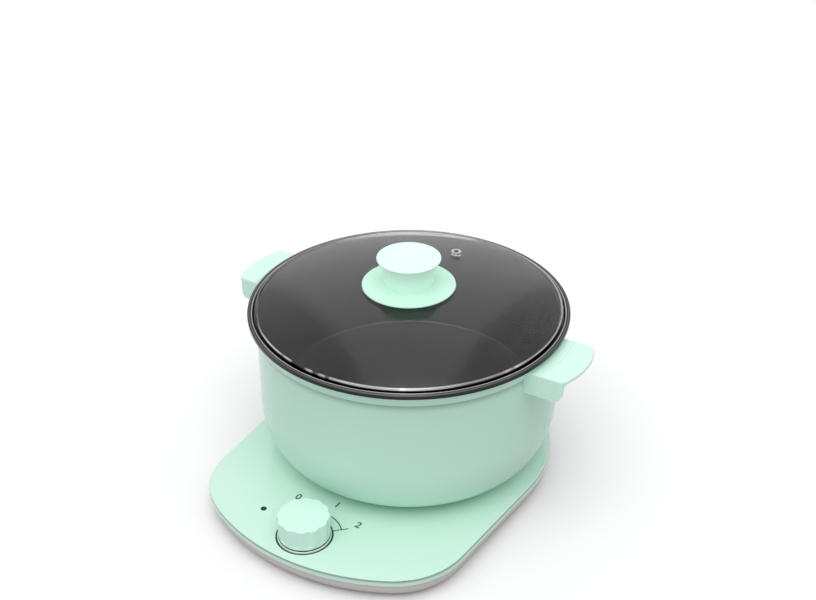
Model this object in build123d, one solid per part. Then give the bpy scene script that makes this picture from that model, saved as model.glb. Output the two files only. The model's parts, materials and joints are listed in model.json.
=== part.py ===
from build123d import *

import os
from math import acos, atan2, cos, degrees, hypot, radians, sin, sqrt

# Electric hot pot: a cordless base with a central connector, a lift-off pot with two
# side handles, and a glass lid with a knob. Millimetres, Z up from the table.
# Pieces are drawn about the connector's axis, with the control knob at -Y and the handles
# at +X and -X, and are then moved together so that the origin is the middle of the footprint.

# ---------------------------------------------------------------- base
base_height = 22.0            # table to the flat top of the base
base_back_radius = 121.5      # round back of the plan, about the connector
base_front_reach = 182.0      # connector axis to the front edge
base_front_radius = 170.0     # gentle curve of the front edge
base_corner_radius = 62.0     # front corners
base_corner_reach = 114.8     # half width at the front corners
cover_wall = 2.5
cover_skirt = 6.0             # depth of the cover's side
cover_edge_round = 0.9
tray_wall = 2.5
tray_inset = 1.8              # the tray stands back under the cover
tray_round = 10.0             # rounded bottom edge of the tray
lap_height = 1.6              # the tray's lip inside the cover's skirt
lap_wall = 1.6
lap_gap = 0.2
foot_radius = 8.0
foot_proud = 2.0              # feet below the tray
foot_recess = 1.0
foot_inset = 26.0             # foot centre from the edge of the plan
foot_back_angle = 42.0
foot_front_angle = -50.0
post_radius = 4.5             # screw posts
post_inset = 13.0
post_join = 13.0              # height where the tray's and the cover's posts meet
post_back_angles = (12.0, 64.0, 116.0, 168.0)
post_front_angle = -28.0
post_gap = 1.5                # middle post to the regulator
base_screw_radius = 1.5
screw_head_radius = 3.0
screw_head_height = 2.0
screw_tip_gap = 1.0           # end of a screw to the end of its hole
vent_slots = 7
vent_slot_length = 34.0
vent_slot_width = 3.0
vent_slot_pitch = 8.0
vent_centre = -62.0           # y of the middle slot

# ---------------------------------------------------------------- connector
tower_radius = 14.4
tower_height = 17.1           # above the base top
tower_chamfer = 0.6
skirt_radius = 20.5           # flared foot of the tower
skirt_rise = 5.5              # height of the flare
skirt_proud = 0.5             # straight edge of the flare above the trim ring
flare_foot = 1.5              # the flare's foot spreads this far beyond the tower
neck_step = 0.4               # taper of the tower
flange_radius = 30.0
flange_thickness = 3.0
tower_under_radius = 14.0     # terminal block under the flange
tower_under_height = 7.5
trim_radius = 31.45           # raised ring round the tower
trim_rise = 1.5
trim_edge_round = 0.7
trim_gap = 0.4                # ring to skirt
spigot_radius = 25.7
spigot_gap = 0.3
contact_depth = 14.0          # depth of the contact grooves
outer_groove = (8.4, 10.6)    # inner and outer radius
inner_groove = (4.2, 6.2)
earth_hole_radius = 2.2
contact_wall = 0.4            # brass lining on each groove's outer wall
contact_gap = 0.4             # lining to the sleeve of the socket
sleeve_wall = 0.6
earth_pin_radius = 1.4
sleeve_clearance = 2.2        # sleeve end to groove floor
terminal_width = 5.0
terminal_drop = 3.5           # tabs below the tower
contact_drop = 1.0            # brass linings below the tower's top
connector_screw_radius = 1.3
connector_screw_head = (2.4, 1.6)   # radius and height
connector_screw_cover = 0.5   # plastic left above the screws
connector_screws_count = 3

# ---------------------------------------------------------------- control
knob_margin = 29.0            # knob axis to the front edge of the base
knob_radius = 20.5            # at the top
knob_skirt_radius = 21.0
knob_height = 18.5            # above the base top
knob_gap = 1.9                # knob above the base top
knob_lobes = 12
knob_lobe_depth = 0.9
knob_lobe_radius = 9.0
knob_plain_skirt = 1.6        # round part below the flutes
knob_wall = 2.5
knob_top_round = 1.1
knob_crown = 0.6              # rise of the domed top
hub_radius = 5.5
hub_gap = 1.5                 # hub above the regulator's bushing
hub_rib = 1.6
hub_rib_angles = (30.0, 150.0, 270.0)
shaft_radius = 3.0
shaft_flat = 1.5              # depth of the D flat
shaft_gap = 0.05
bushing_radius = 4.5
bushing_rise = 6.0            # above the base top
nut_across = 13.0
nut_height = 2.5
clip_wall = 0.6
clip_height = 1.9
clip_slit = 2.0
bezel_radius = 21.9
bezel_inner_radius = 10.0
bezel_rise = 1.0
bezel_recess = 1.0
bezel_gap = 0.6
regulator_size = (26.0, 22.0, 12.0)
regulator_chamfer = 2.0
regulator_tab = (0.8, 5.0, 3.0)
regulator_tab_pitch = 8.0
regulator_tab_offset = 6.0
indicator_offset = (-45.8, 8.2)     # from the knob axis
indicator_radius = 2.4
indicator_rise = 0.4
led_radius = 1.6
led_rim = 0.5
led_rim_height = 2.0

# ---------------------------------------------------------------- inside the base
board_size = (50.0, 38.0, 1.6)
board_offset = (-2.2, 14.8)         # board's centre from the indicator
board_height = 10.0           # underside of the board
board_post_radius = 3.0
board_post_inset = 4.0
board_screw_radius = 1.1
board_screw_head = (2.1, 1.4)       # radius and height
board_screw_bite = 4.0
sink_size = (24.0, 12.0, 6.0)
sink_base = 2.0
sink_fin = 1.6
sink_fins = 5
sink_offset = (8.0, 5.0)      # from the board's centre
terminal_block_size = (32.0, 16.0, 9.0)
terminal_setback = 24.0       # terminal block in front of the cord clamp
terminal_poles = 3
terminal_screw_radius = 2.6
terminal_screw_depth = 4.0
terminal_screw_sink = 1.5
gland_height = 10.2           # centre of the cord gland above the table
gland_radius = 5.0
gland_bore = 3.6
gland_neck_radius = 4.2
gland_flange = 2.0
gland_chamfer = 1.0
gland_seat = 0.8              # the flange starts this deep in the wall
gland_neck = 3.2              # length of the neck
gland_lock = 2.0              # inner flange
gland_pad_margin = 3.0        # pad beyond the gland
gland_pad_depth = 6.0
gland_boss = 0.5              # the lug's flat face stands proud of the round wall
clamp_size = (26.0, 8.0, 3.0)
clamp_setback = 24.2          # cord clamp behind the gland's face
clamp_post_height = 4.5
clamp_screw_head = (2.2, 1.5)
clamp_screw_bite = 3.0

# ---------------------------------------------------------------- pot
pot_pad_height = 2.0          # pads between pot and base
pot_pad_radius = 7.0
pot_pad_circle = 56.0
pot_pad_recess = 0.8
pot_pads_count = 4
pot_height = 128.1            # underside to the top of the rim
pot_flat_radius = 85.6        # flat of the underside
pot_shoulder_radius = 123.6   # where the lower curve meets the wall
pot_shoulder_drop = 76.9      # below the rim
pot_wall_radius = 123.2       # wall under the collar
pot_curve_fullness = 0.65     # handle length of the lower curve; 0.552 is an ellipse
housing_wall = 2.2
housing_floor = 2.5           # thickness of each of the two layers at the underside
housing_inner_flat = 92.0     # flat of the inside of the floor
housing_hole_radius = 73.0
collar_top_radius = 128.6
collar_low_radius = 125.0
collar_top_drop = 3.4         # below the rim
collar_low_drop = 11.2
collar_lip = 0.8              # rounded lower edge of the collar
housing_lip_gap = 0.3         # collar's top lip round the pan's pocket
rim_radius = 130.0
rim_edge_height = 3.2
rim_hem = 1.0                 # thickness of the rim's turned-down edge
bead_height = 3.0             # rim above the ledge that carries the lid
bead_inner_radius = 126.8
bead_round = 1.2              # outer edge of the bead
bead_ease = 0.5               # inner edge of the bead
step_drop = 1.3               # middle step of the rim below the bead
step_radius = 126.3           # outer edge of the middle step
ledge_outer_radius = 125.0
ledge_radius = 122.9          # inner edge of the ledge
ledge_round = 2.0             # height of the pan's rounded shoulder below the ledge
pan_wall = 1.5
pan_top_radius = 119.2
pan_low_radius = 117.8
pan_floor_radius = 109.9
pan_depth = 84.0
pan_corner = 8.0
gasket_thickness = 1.0
gasket_inset = 0.8
bottom_cover_radius = 80.0
bottom_cover_gap = 0.3
bottom_screw_circle = 76.6
bottom_screw_radius = 1.3
bottom_screw_head = (2.4, 1.2)      # radius and height
bottom_screw_recess = (2.5, 1.4)
bottom_screw_boss = 6.0
bottom_boss_radius = 3.4
bottom_screws_count = 6
bottom_screw_start = 30.0

# ---------------------------------------------------------------- socket in the pot
socket_radius = 24.0
socket_bore = 15.0
socket_mouth = 21.3
socket_mouth_land = 0.8
socket_roof = 3.0
socket_top_gap = 1.0          # tower top to the socket's roof
socket_flange_radius = 34.0
socket_flange_thickness = 2.5
socket_flange_height = 9.0    # above the underside of the pot
socket_screw_circle = 29.0
socket_post_radius = 3.6
socket_shoulder = 2.0         # the cup steps in above its flange
socket_roof_margin = 3.0      # roof beyond the bore
socket_screw_head = (2.4, 1.6)
socket_screws_count = 3
sleeve_tab_rise = 5.0
sleeve_seat = 1.2             # depth of the sleeves in the socket's roof

# ---------------------------------------------------------------- heater under the pan
plate_radius = 82.0
plate_thickness = 4.0
element_circle = 62.0
element_radius = 3.3
element_gap_angle = 30.0
element_leg = 14.0
element_pin = (1.2, 7.0)      # radius and length
element_clearance = 1.0
plate_chamfer = 1.2
shield_radius = 98.0
shield_sheet = 0.8
shield_drop = 13.0            # below the heat plate
shield_lip = 6.0
shield_hole = 20.0
pillar_radius = 6.0
pillar_circle = 46.0
pillars_count = 3
pillar_start = 60.0
stud_radius = 2.0
stud_clearance = 0.2
stud_proud = 1.0
stud_pocket_share = 0.62      # nut pocket radius over the nut's size
stud_nut_across = 7.0
stud_nut_height = 3.0
stud_pocket = 7.0             # depth of the nut pocket from the underside
thermostat_radius = 8.0
thermostat_height = 7.0
thermostat_ear = 27.0
thermostat_ear_sheet = 1.0
thermostat_ear_trim = 6.0     # ears narrower than the body
thermostat_tab = (0.8, 6.0, 6.0)
thermostat_tab_reach = 4.0
thermostat_screw_radius = 1.3
thermostat_screw_head = (2.2, 1.6)
thermostat_screw_inset = 2.5
fuse_radius = 2.2
fuse_length = 24.0
fuse_lead = 6.0
fuse_lead_radius = 0.6
fuse_offset = 34.0
fuse_strap = 0.8
fuse_strap_width = 10.0
fuse_strap_wing = 9.0

# ---------------------------------------------------------------- handles
handle_reach = 157.4          # axis to the middle of the grip's edge
handle_bow = 6.4              # the outer edge bows this far beyond its corners
handle_half_width = 28.8
handle_root_half_width = 29.8
handle_root_reach = 100.0     # hidden start of the drawn grip, inside the pot
handle_corner_round = 6.0
handle_drop = 6.5             # top of the grip below the rim
handle_plate = 2.6
handle_depth = 19.0           # grip top to the bottom of the cheeks
handle_cheek = 4.0
handle_foot_back = 7.0        # the cheeks' foot stands back from their corner
handle_foot_bend = 7.0        # height of the bend at the foot
handle_cheek_neck = 2.0       # straight part of the cheeks under the plate
handle_root = 6.5             # root pad outside the pot wall
handle_gap_round = 3.0
handle_edge_round = 1.2
handle_step_reach = 6.5       # sunk strip of the grip beside the rim
handle_step = 0.8
handle_step_slope = 0.8
handle_screw_angle = 7.0
handle_screw_radius = 1.6
handle_screw_head = 3.0
handle_screw_cone = 1.5
handle_screw_seat = 0.1       # head above the inside of the wall
handle_screw_length = 7.5
handle_screw_drop = 18.5      # below the rim

# ---------------------------------------------------------------- lid
band_radius = 124.1
band_height = 5.6
band_sheet = 0.5
band_edge = 0.4               # bent edges of the band
band_lip = 1.2                # the band over the glass
band_foot = 2.6               # the band under the glass
glass_thickness = 4.0
dome_radius = 417.0
knob_disc_radius = 37.8
knob_disc_thickness = 1.8
knob_disc_edge = 0.9          # rounded edge of the disc
knob_disc_gap = 0.2           # disc above the glass
lid_knob_height = 22.4        # above the disc
lid_stem_foot_radius = 19.7
lid_stem_swell = (0.7, 9.0)   # the stem's lower curve, outwards and upwards
lid_stem_neck = (4.2, 7.2)    # the flare's curve, inwards and downwards from the lip
lid_knob_radius = 25.7
lid_lip_height = 1.0          # edge of the lip below the top
lid_dish_radius = 18.9
lid_dish_depth = 0.6
lid_dish_slope = 0.4
lid_knob_wall = 2.4
lid_hub_radius = 6.0
lid_rib = 1.8
lid_rib_drop = 4.0            # foot of the ribs above the foot of the knob
lid_rib_angles = (0.0, 120.0, 240.0)
lid_screw_radius = 2.0
lid_screw_bite = 10.0
lid_screw_hole = 12.0
lid_hole_radius = 3.0
lid_screw_head = 4.2
lid_head_edge = 1.2
lid_head_crown = (2.6, 1.4)   # radius and height of the rounded end
lid_washer_radius = 9.0
lid_washer_thickness = 1.2
vent_angle = 88.0
vent_circle = 72.0
vent_radius = 2.2
vent_tube = 0.6
vent_lip_radius = 4.2
vent_lip = 0.7

# ---------------------------------------------------------------- levels
parting_z = base_height - cover_skirt
cover_under_z = base_height - cover_wall
tray_floor_z = foot_proud + tray_wall
gland_face_y = base_back_radius - tray_inset + gland_boss
clamp_y = gland_face_y - clamp_setback
terminal_block_y = clamp_y - terminal_setback
flange_low_z = cover_under_z - flange_thickness
tower_top_z = base_height + tower_height
groove_floor_z = tower_top_z - contact_depth
pot_z = base_height + pot_pad_height
rim_z = pot_z + pot_height
ledge_z = rim_z - bead_height
pan_floor_z = rim_z - pan_depth
plate_low_z = pan_floor_z - pan_wall - plate_thickness
socket_roof_z = tower_top_z + socket_top_gap
shield_z = plate_low_z - shield_drop
lid_z = ledge_z
glass_edge_z = lid_z + band_height - band_sheet
glass_edge_radius = band_radius - band_lip
handle_corner_reach = handle_reach - handle_bow
pan_pocket_radius = ledge_outer_radius + pan_wall
dome_centre_z = glass_edge_z - sqrt(dome_radius ** 2 - glass_edge_radius ** 2)
knob_reach = base_front_reach - knob_margin
knob_centre = (0.0, -knob_reach)
indicator_centre = (indicator_offset[0], indicator_offset[1] - knob_reach)
board_centre = (indicator_centre[0] + board_offset[0], indicator_centre[1] + board_offset[1])
hub_low = bushing_rise + hub_gap
shaft_top_z = base_height + knob_height - knob_wall - knob_crown
connector_screw_circle = (spigot_radius + skirt_radius + trim_gap) / 2


# ---------------------------------------------------------------- shared shapes
def turned(outline):
    """Solid of revolution about Z from edges or points drawn as (radius, height)."""
    edges = Polyline(*outline, close=True) if isinstance(outline, list) else outline
    return revolve(make_face(Plane.XZ * edges), Axis.Z, 360)


def disc(radius, low, high, at=(0.0, 0.0)):
    return Pos(at[0], at[1], low) * extrude(Circle(radius), high - low)


def ring(inner, outer, low, high, at=(0.0, 0.0)):
    return Pos(at[0], at[1], low) * extrude(Circle(outer) - Circle(inner), high - low)


def block(size, low, at=(0.0, 0.0)):
    return Pos(at[0], at[1], low) * extrude(Rectangle(size[0], size[1]), size[2])


def on_circle(radius, count, start=0.0):
    """Points evenly spread on a circle about the Z axis."""
    angles = [radians(start + 360.0 * i / count) for i in range(count)]
    return [(radius * cos(a), radius * sin(a)) for a in angles]


def joined(pieces):
    """Separate solids kept side by side in one node."""
    return Compound([solid for piece in pieces for solid in piece.solids()])


def cap_screw(radius, head_radius, head_height, low, high, at):
    """Screw pointing up, its head below `low`."""
    return disc(radius, low, high, at) + disc(head_radius, low - head_height, low, at)


def base_plan_centres():
    """Centres of the front arc and of the right front corner."""
    front_y = base_front_radius - base_front_reach
    corner_x = base_corner_reach - base_corner_radius
    drop = sqrt((base_front_radius - base_corner_radius) ** 2 - corner_x ** 2)
    return front_y, (corner_x, front_y - drop)


def base_plan(inset=0.0):
    """Plan of the base: round back, tapering sides, round corners, bowed front."""
    back = base_back_radius - inset
    corner = base_corner_radius - inset
    front = base_front_radius - inset
    front_y, (corner_x, corner_y) = base_plan_centres()
    lean = atan2(corner_y, corner_x) + acos((back - corner) / hypot(corner_x, corner_y))
    turn = atan2(corner_y - front_y, corner_x)

    def point(centre, radius, angle):
        return (centre[0] + radius * cos(angle), centre[1] + radius * sin(angle))

    top = (0.0, back)
    side_back = point((0.0, 0.0), back, lean)
    side_front = point((corner_x, corner_y), corner, lean)
    front_start = point((0.0, front_y), front, turn)
    nose = (0.0, front_y - front)
    half = ThreePointArc(top, point((0.0, 0.0), back, (lean + radians(90)) / 2), side_back)
    half += Line(side_back, side_front)
    half += ThreePointArc(side_front, point((corner_x, corner_y), corner, (lean + turn) / 2), front_start)
    half += ThreePointArc(front_start, point((0.0, front_y), front, (turn - radians(90)) / 2), nose)
    return make_face(half + half.mirror(Plane.YZ))


def base_slab(inset, low, high):
    return Pos(0, 0, low) * extrude(base_plan(inset), high - low)


def polar(radius, angle):
    return (radius * cos(radians(angle)), radius * sin(radians(angle)))


def corner_points(inset, angle):
    """A place in each front corner, this far inside the plan."""
    corner = base_plan_centres()[1]
    step = polar(base_corner_radius - inset, angle)
    return [(side * (corner[0] + step[0]), corner[1] + step[1]) for side in (1, -1)]


def base_points():
    """Screw posts: four at the back, one in each front corner, one behind the regulator."""
    places = [polar(base_back_radius - post_inset, angle) for angle in post_back_angles]
    places += corner_points(post_inset, post_front_angle)
    places.append((0.0, knob_centre[1] + regulator_size[1] / 2 + post_radius + post_gap))
    return places


def foot_points():
    """Four feet: two under the round back, two under the front corners."""
    back = base_back_radius - foot_inset
    places = [polar(back, foot_back_angle), polar(back, 180 - foot_back_angle)]
    return places + corner_points(foot_inset, foot_front_angle)


# ---------------------------------------------------------------- base pieces
def base_top_cover():
    cover = fillet(base_slab(0, parting_z, base_height).faces().sort_by(Axis.Z)[-1].edges(), cover_edge_round)
    cover -= base_slab(cover_wall, parting_z, cover_under_z)
    for at in base_points():
        cover += disc(post_radius, post_join, cover_under_z, at)
        cover -= disc(base_screw_radius, post_join, cover_under_z, at)
    cover -= disc(spigot_radius + spigot_gap, parting_z, base_height)
    cover -= disc(bushing_radius + shaft_gap, cover_under_z, base_height, knob_centre)
    cover -= ring(bezel_inner_radius - bezel_gap, bezel_radius + bezel_gap,
                  base_height - bezel_recess, base_height, knob_centre)
    cover -= disc(indicator_radius, cover_under_z, base_height, indicator_centre)
    return cover


def base_tray():
    body = base_slab(tray_inset, foot_proud, parting_z)
    body = fillet(body.faces().sort_by(Axis.Z)[0].edges(), tray_round)
    hollow = base_slab(tray_inset + tray_wall, tray_floor_z, parting_z + lap_height)
    hollow = fillet(hollow.faces().sort_by(Axis.Z)[0].edges(), tray_round - tray_wall)
    lap = base_slab(cover_wall + lap_gap, parting_z - lap_wall, parting_z + lap_height)
    lap -= base_slab(cover_wall + lap_gap + lap_wall, parting_z - lap_wall, parting_z + lap_height)
    tray = body - hollow + lap
    for at in base_points():
        tray += disc(post_radius, tray_floor_z - tray_wall / 2, post_join, at)
        tray -= disc(base_screw_radius, foot_proud, post_join, at)
        tray -= disc(screw_head_radius, foot_proud, tray_floor_z + screw_head_height, at)
    for at in foot_points():
        tray -= disc(foot_radius, foot_proud, foot_proud + foot_recess, at)
    for at in board_corners():
        tray += disc(board_post_radius, tray_floor_z, board_height, at)
        tray -= disc(board_screw_radius, tray_floor_z, board_height, at)
    for row in range(vent_slots):
        y = vent_centre + (row - (vent_slots - 1) / 2) * vent_slot_pitch
        slot = SlotOverall(vent_slot_length, vent_slot_width)
        tray -= Pos(0, y, foot_proud) * extrude(slot, tray_wall)
    for at in clamp_points():
        tray += disc(board_post_radius, tray_floor_z, tray_floor_z + clamp_post_height, at)
        tray -= disc(board_screw_radius, tray_floor_z, tray_floor_z + clamp_post_height, at)
    tray += gland_block()
    return tray - gland_cutter()


def gland_block():
    """Flat-faced lug through the back wall that holds the cord gland."""
    depth = gland_boss + tray_wall + gland_pad_depth
    size = (2 * (gland_radius + gland_pad_margin), depth, parting_z - tray_floor_z)
    return block(size, tray_floor_z, (0, gland_face_y - depth / 2))


def gland_outline():
    """Stepped outline of the gland along its own axis, the outside end first."""
    neck = -gland_seat - gland_neck
    inner = neck - gland_lock
    return [(gland_bore, gland_flange), (gland_radius - gland_chamfer, gland_flange),
            (gland_radius, gland_flange - gland_chamfer), (gland_radius, -gland_seat),
            (gland_neck_radius, -gland_seat), (gland_neck_radius, neck), (gland_radius, neck),
            (gland_radius, inner), (gland_bore, inner)]


def at_gland(shape):
    return Pos(0, gland_face_y, gland_height) * Rot(-90, 0, 0) * shape


def cord_gland():
    return at_gland(turned(gland_outline()))


def gland_cutter():
    filled = [(0.0, gland_flange)] + gland_outline()[1:-1] + [(0.0, gland_outline()[-1][1])]
    depth = 2 * (tray_wall + gland_pad_depth)
    channel = Pos(0, 0, -depth) * extrude(Circle(gland_bore), depth)
    return at_gland(turned(filled)) + at_gland(channel)


def clamp_points():
    reach = clamp_size[0] / 2 - clamp_size[1] / 2
    return [(-reach, clamp_y), (reach, clamp_y)]


def cord_clamp():
    low = tray_floor_z + clamp_post_height
    bar = Pos(0, clamp_y, low) * extrude(SlotOverall(clamp_size[0], clamp_size[1]), clamp_size[2])
    for at in clamp_points():
        bar -= disc(board_screw_radius, low, low + clamp_size[2], at)
    return bar


def clamp_screws():
    low = tray_floor_z + clamp_post_height
    top = low + clamp_size[2]
    screws = []
    for at in clamp_points():
        shank = disc(board_screw_radius, low - clamp_screw_bite, top, at)
        screws.append(shank + disc(clamp_screw_head[0], top, top + clamp_screw_head[1], at))
    return joined(screws)


def base_feet():
    return joined(disc(foot_radius, 0, foot_proud + foot_recess, at) for at in foot_points())


def base_screws():
    low = tray_floor_z + screw_head_height
    tip = cover_under_z - screw_tip_gap
    return joined(cap_screw(base_screw_radius, screw_head_radius, screw_head_height, low, tip, at)
                  for at in base_points())


# ---------------------------------------------------------------- connector pieces
def trim_ring():
    edge = trim_radius - trim_edge_round
    top = base_height + trim_rise
    inner = skirt_radius + trim_gap
    edges = Polyline((inner, top), (edge, top))
    step = polar(trim_edge_round, 45)
    edges += ThreePointArc((edge, top), (edge + step[0], top - trim_edge_round + step[1]),
                           (trim_radius, top - trim_edge_round))
    edges += Polyline((trim_radius, top - trim_edge_round), (trim_radius, base_height),
                      (spigot_radius, base_height), (spigot_radius, cover_under_z), (inner, cover_under_z),
                      (inner, top))
    part = turned(edges)
    for at in on_circle(connector_screw_circle, connector_screws_count, 90):
        part -= disc(connector_screw_radius, cover_under_z, base_height, at)
    return part


def connector_tower():
    skirt_z = base_height + trim_rise + skirt_proud
    neck_z = skirt_z + skirt_rise
    top = tower_top_z
    under = flange_low_z - tower_under_height
    edges = Polyline((0, under), (tower_under_radius, under), (tower_under_radius, flange_low_z),
                     (flange_radius, flange_low_z), (flange_radius, cover_under_z),
                     (skirt_radius, cover_under_z), (skirt_radius, skirt_z))
    neck_radius = tower_radius + neck_step
    edges += Bezier((skirt_radius, skirt_z), (tower_radius + flare_foot, skirt_z + skirt_rise / 5),
                    (neck_radius, neck_z))
    edges += Polyline((neck_radius, neck_z), (tower_radius, top - tower_chamfer),
                      (tower_radius - tower_chamfer, top), (0, top), (0, under))
    tower = turned(edges)
    tower -= ring(*outer_groove, groove_floor_z, top)
    tower -= ring(*inner_groove, groove_floor_z, top)
    tower -= disc(earth_hole_radius, groove_floor_z, top)
    for at in on_circle(connector_screw_circle, connector_screws_count, 90):
        tower -= disc(connector_screw_radius, flange_low_z, cover_under_z, at)
    return tower - outer_contact() - inner_contact() - earth_contact()


def contact_ring(radius, angle):
    """Brass lining of one groove with a flat tab down through the tower."""
    lining = ring(radius - contact_wall, radius, groove_floor_z, tower_top_z - contact_drop)
    tab_low = flange_low_z - tower_under_height - terminal_drop
    tab = ring(radius - contact_wall, radius, tab_low, groove_floor_z)
    size = (radius * 2, terminal_width, groove_floor_z - tab_low)
    window = Rot(0, 0, angle) * block(size, tab_low, (radius, 0))
    return lining + (tab & window)


def outer_contact():
    return contact_ring(outer_groove[1], 0)


def inner_contact():
    return contact_ring(inner_groove[1], 120)


def earth_contact():
    tab_low = flange_low_z - tower_under_height - terminal_drop
    inner = earth_hole_radius - contact_wall
    lining = ring(inner, earth_hole_radius, groove_floor_z, tower_top_z - contact_drop)
    return lining + disc(earth_hole_radius, tab_low, groove_floor_z)


def connector_screws():
    tip = base_height - connector_screw_cover
    return joined(cap_screw(connector_screw_radius, *connector_screw_head, flange_low_z, tip, at)
                  for at in on_circle(connector_screw_circle, connector_screws_count, 90))


# ---------------------------------------------------------------- control pieces
def knob_bezel():
    low = base_height - bezel_recess
    return ring(bezel_inner_radius, bezel_radius, low, base_height + bezel_rise, knob_centre)


def regulator_body():
    body = block(regulator_size, cover_under_z - regulator_size[2], knob_centre)
    body = chamfer(body.edges().filter_by(Axis.Z), regulator_chamfer)
    body += disc(bushing_radius, cover_under_z, base_height + bushing_rise, knob_centre)
    bore_low = cover_under_z - regulator_size[2] / 2
    body -= disc(shaft_radius + shaft_gap, bore_low, base_height + bushing_rise, knob_centre)
    tab_low = cover_under_z - regulator_size[2] - regulator_tab[2]
    for step in (-1, 0, 1):
        body += block(regulator_tab, tab_low, (knob_centre[0] + step * regulator_tab_pitch,
                                               knob_centre[1] + regulator_tab_offset))
    return body


def regulator_nut():
    nut = extrude(RegularPolygon(nut_across / 2, 6, major_radius=False) - Circle(bushing_radius), nut_height)
    return Pos(knob_centre[0], knob_centre[1], base_height) * nut


def regulator_shaft():
    low = cover_under_z - regulator_size[2] / 2
    round_top = base_height + bushing_rise + hub_gap / 2
    shaft = disc(shaft_radius, low + shaft_gap, round_top, knob_centre)
    return shaft + shaft_flat_part(round_top, shaft_top_z)


def shaft_flat_part(low, high):
    flat = Circle(shaft_radius) - Pos(0, shaft_radius) * Rectangle(2 * shaft_radius, 2 * shaft_flat)
    return Pos(knob_centre[0], knob_centre[1], low) * extrude(flat, high - low)


def control_knob():
    """Round cap with shallow scallops, hollow, on a ribbed hub."""
    low = knob_gap
    side_top = knob_height - knob_crown - knob_top_round
    edges = Polyline((0, low), (knob_skirt_radius, low), (knob_radius, side_top))
    edges += Bezier((knob_radius, side_top), (knob_radius, side_top + knob_top_round),
                    (knob_radius - 2 * knob_top_round, knob_height - knob_crown / 2), (0, knob_height))
    edges += Line((0, knob_height), (0, low))
    knob = turned(edges)
    flute_centre = knob_radius + knob_lobe_radius - knob_lobe_depth
    for at in on_circle(flute_centre, knob_lobes, 180 / knob_lobes):
        knob -= disc(knob_lobe_radius, knob_gap + knob_plain_skirt, knob_height, at)
    roof = knob_height - knob_crown - knob_wall
    hollow = disc(knob_radius - knob_wall - knob_lobe_depth, low, roof)
    hollow -= disc(hub_radius, hub_low, roof)
    rib_low = hub_low + clip_height + shaft_gap
    rib = block((knob_radius, hub_rib, roof - rib_low), rib_low, (knob_radius / 2, 0))
    for angle in hub_rib_angles:
        hollow -= Rot(0, 0, angle) * rib
    knob = Pos(knob_centre[0], knob_centre[1], base_height) * (knob - hollow)
    return knob - shaft_flat_part(base_height + hub_low, shaft_top_z)


def knob_clip():
    """Split spring ring that grips the knob's hub."""
    low = base_height + hub_low
    clip = ring(hub_radius, hub_radius + clip_wall, low, low + clip_height, knob_centre)
    slit = block((clip_slit, 4 * hub_radius, clip_height), low, (0, -2 * hub_radius))
    return clip - Pos(knob_centre[0], knob_centre[1]) * slit


def indicator_lens():
    lens = disc(indicator_radius, cover_under_z, base_height + indicator_rise, indicator_centre)
    return fillet(lens.faces().sort_by(Axis.Z)[-1].edges(), indicator_rise * 0.9)


def indicator_led():
    low = board_height + board_size[2]
    rim_top = low + led_rim_height
    return disc(led_radius, rim_top, cover_under_z, indicator_centre) \
        + disc(led_radius + led_rim, low, rim_top, indicator_centre)


# ---------------------------------------------------------------- pieces inside the base
def board_corners():
    half_x = board_size[0] / 2 - board_post_inset
    half_y = board_size[1] / 2 - board_post_inset
    return [(board_centre[0] + i * half_x, board_centre[1] + j * half_y) for i in (-1, 1) for j in (-1, 1)]


def control_board():
    board = block(board_size, board_height, board_centre)
    for at in board_corners():
        board -= disc(board_screw_radius, board_height, board_height + board_size[2], at)
    return board


def board_screws():
    top = board_height + board_size[2]
    return joined(disc(board_screw_radius, board_height - board_screw_bite, top, at)
                  + disc(board_screw_head[0], top, top + board_screw_head[1], at) for at in board_corners())


def heat_sink():
    low = board_height + board_size[2]
    at = (board_centre[0] + sink_offset[0], board_centre[1] + sink_offset[1])
    sink = block((sink_size[0], sink_size[1], sink_base), low, at)
    pitch = sink_size[0] / sink_fins
    for i in range(sink_fins):
        x = at[0] + (i - (sink_fins - 1) / 2) * pitch
        sink += block((sink_fin, sink_size[1], sink_size[2]), low, (x, at[1]))
    return sink


def terminal_places():
    pitch = terminal_block_size[0] / terminal_poles
    return [((i - (terminal_poles - 1) / 2) * pitch, terminal_block_y) for i in range(terminal_poles)]


def terminal_block():
    body = block(terminal_block_size, tray_floor_z, (0, terminal_block_y))
    top = tray_floor_z + terminal_block_size[2]
    for at in terminal_places():
        body -= disc(terminal_screw_radius, top - terminal_screw_depth, top, at)
    return body


def terminal_screws():
    top = tray_floor_z + terminal_block_size[2]
    return joined(disc(terminal_screw_radius, top - terminal_screw_depth, top - terminal_screw_sink, at)
                  for at in terminal_places())


# ---------------------------------------------------------------- pot pieces
def housing_profile():
    """Outer line of the pot's housing from the underside to the top of the collar."""
    rise = pot_height - pot_shoulder_drop
    run = pot_shoulder_radius - pot_flat_radius
    shoulder_z = rim_z - pot_shoulder_drop
    low_z = rim_z - collar_low_drop
    low_pull = (pot_flat_radius + pot_curve_fullness * run, pot_z)
    high_pull = (pot_shoulder_radius, shoulder_z - pot_curve_fullness * rise)
    edges = Bezier((pot_flat_radius, pot_z), low_pull, high_pull, (pot_shoulder_radius, shoulder_z))
    edges += Polyline((pot_shoulder_radius, shoulder_z), (pot_wall_radius, low_z),
                      (collar_low_radius - collar_lip, low_z))
    step = polar(collar_lip, -45)
    edges += ThreePointArc((collar_low_radius - collar_lip, low_z),
                           (collar_low_radius - collar_lip + step[0], low_z + collar_lip + step[1]),
                           (collar_low_radius, low_z + collar_lip))
    edges += Line((collar_low_radius, low_z + collar_lip), (collar_top_radius, rim_z - collar_top_drop))
    return edges


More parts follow.
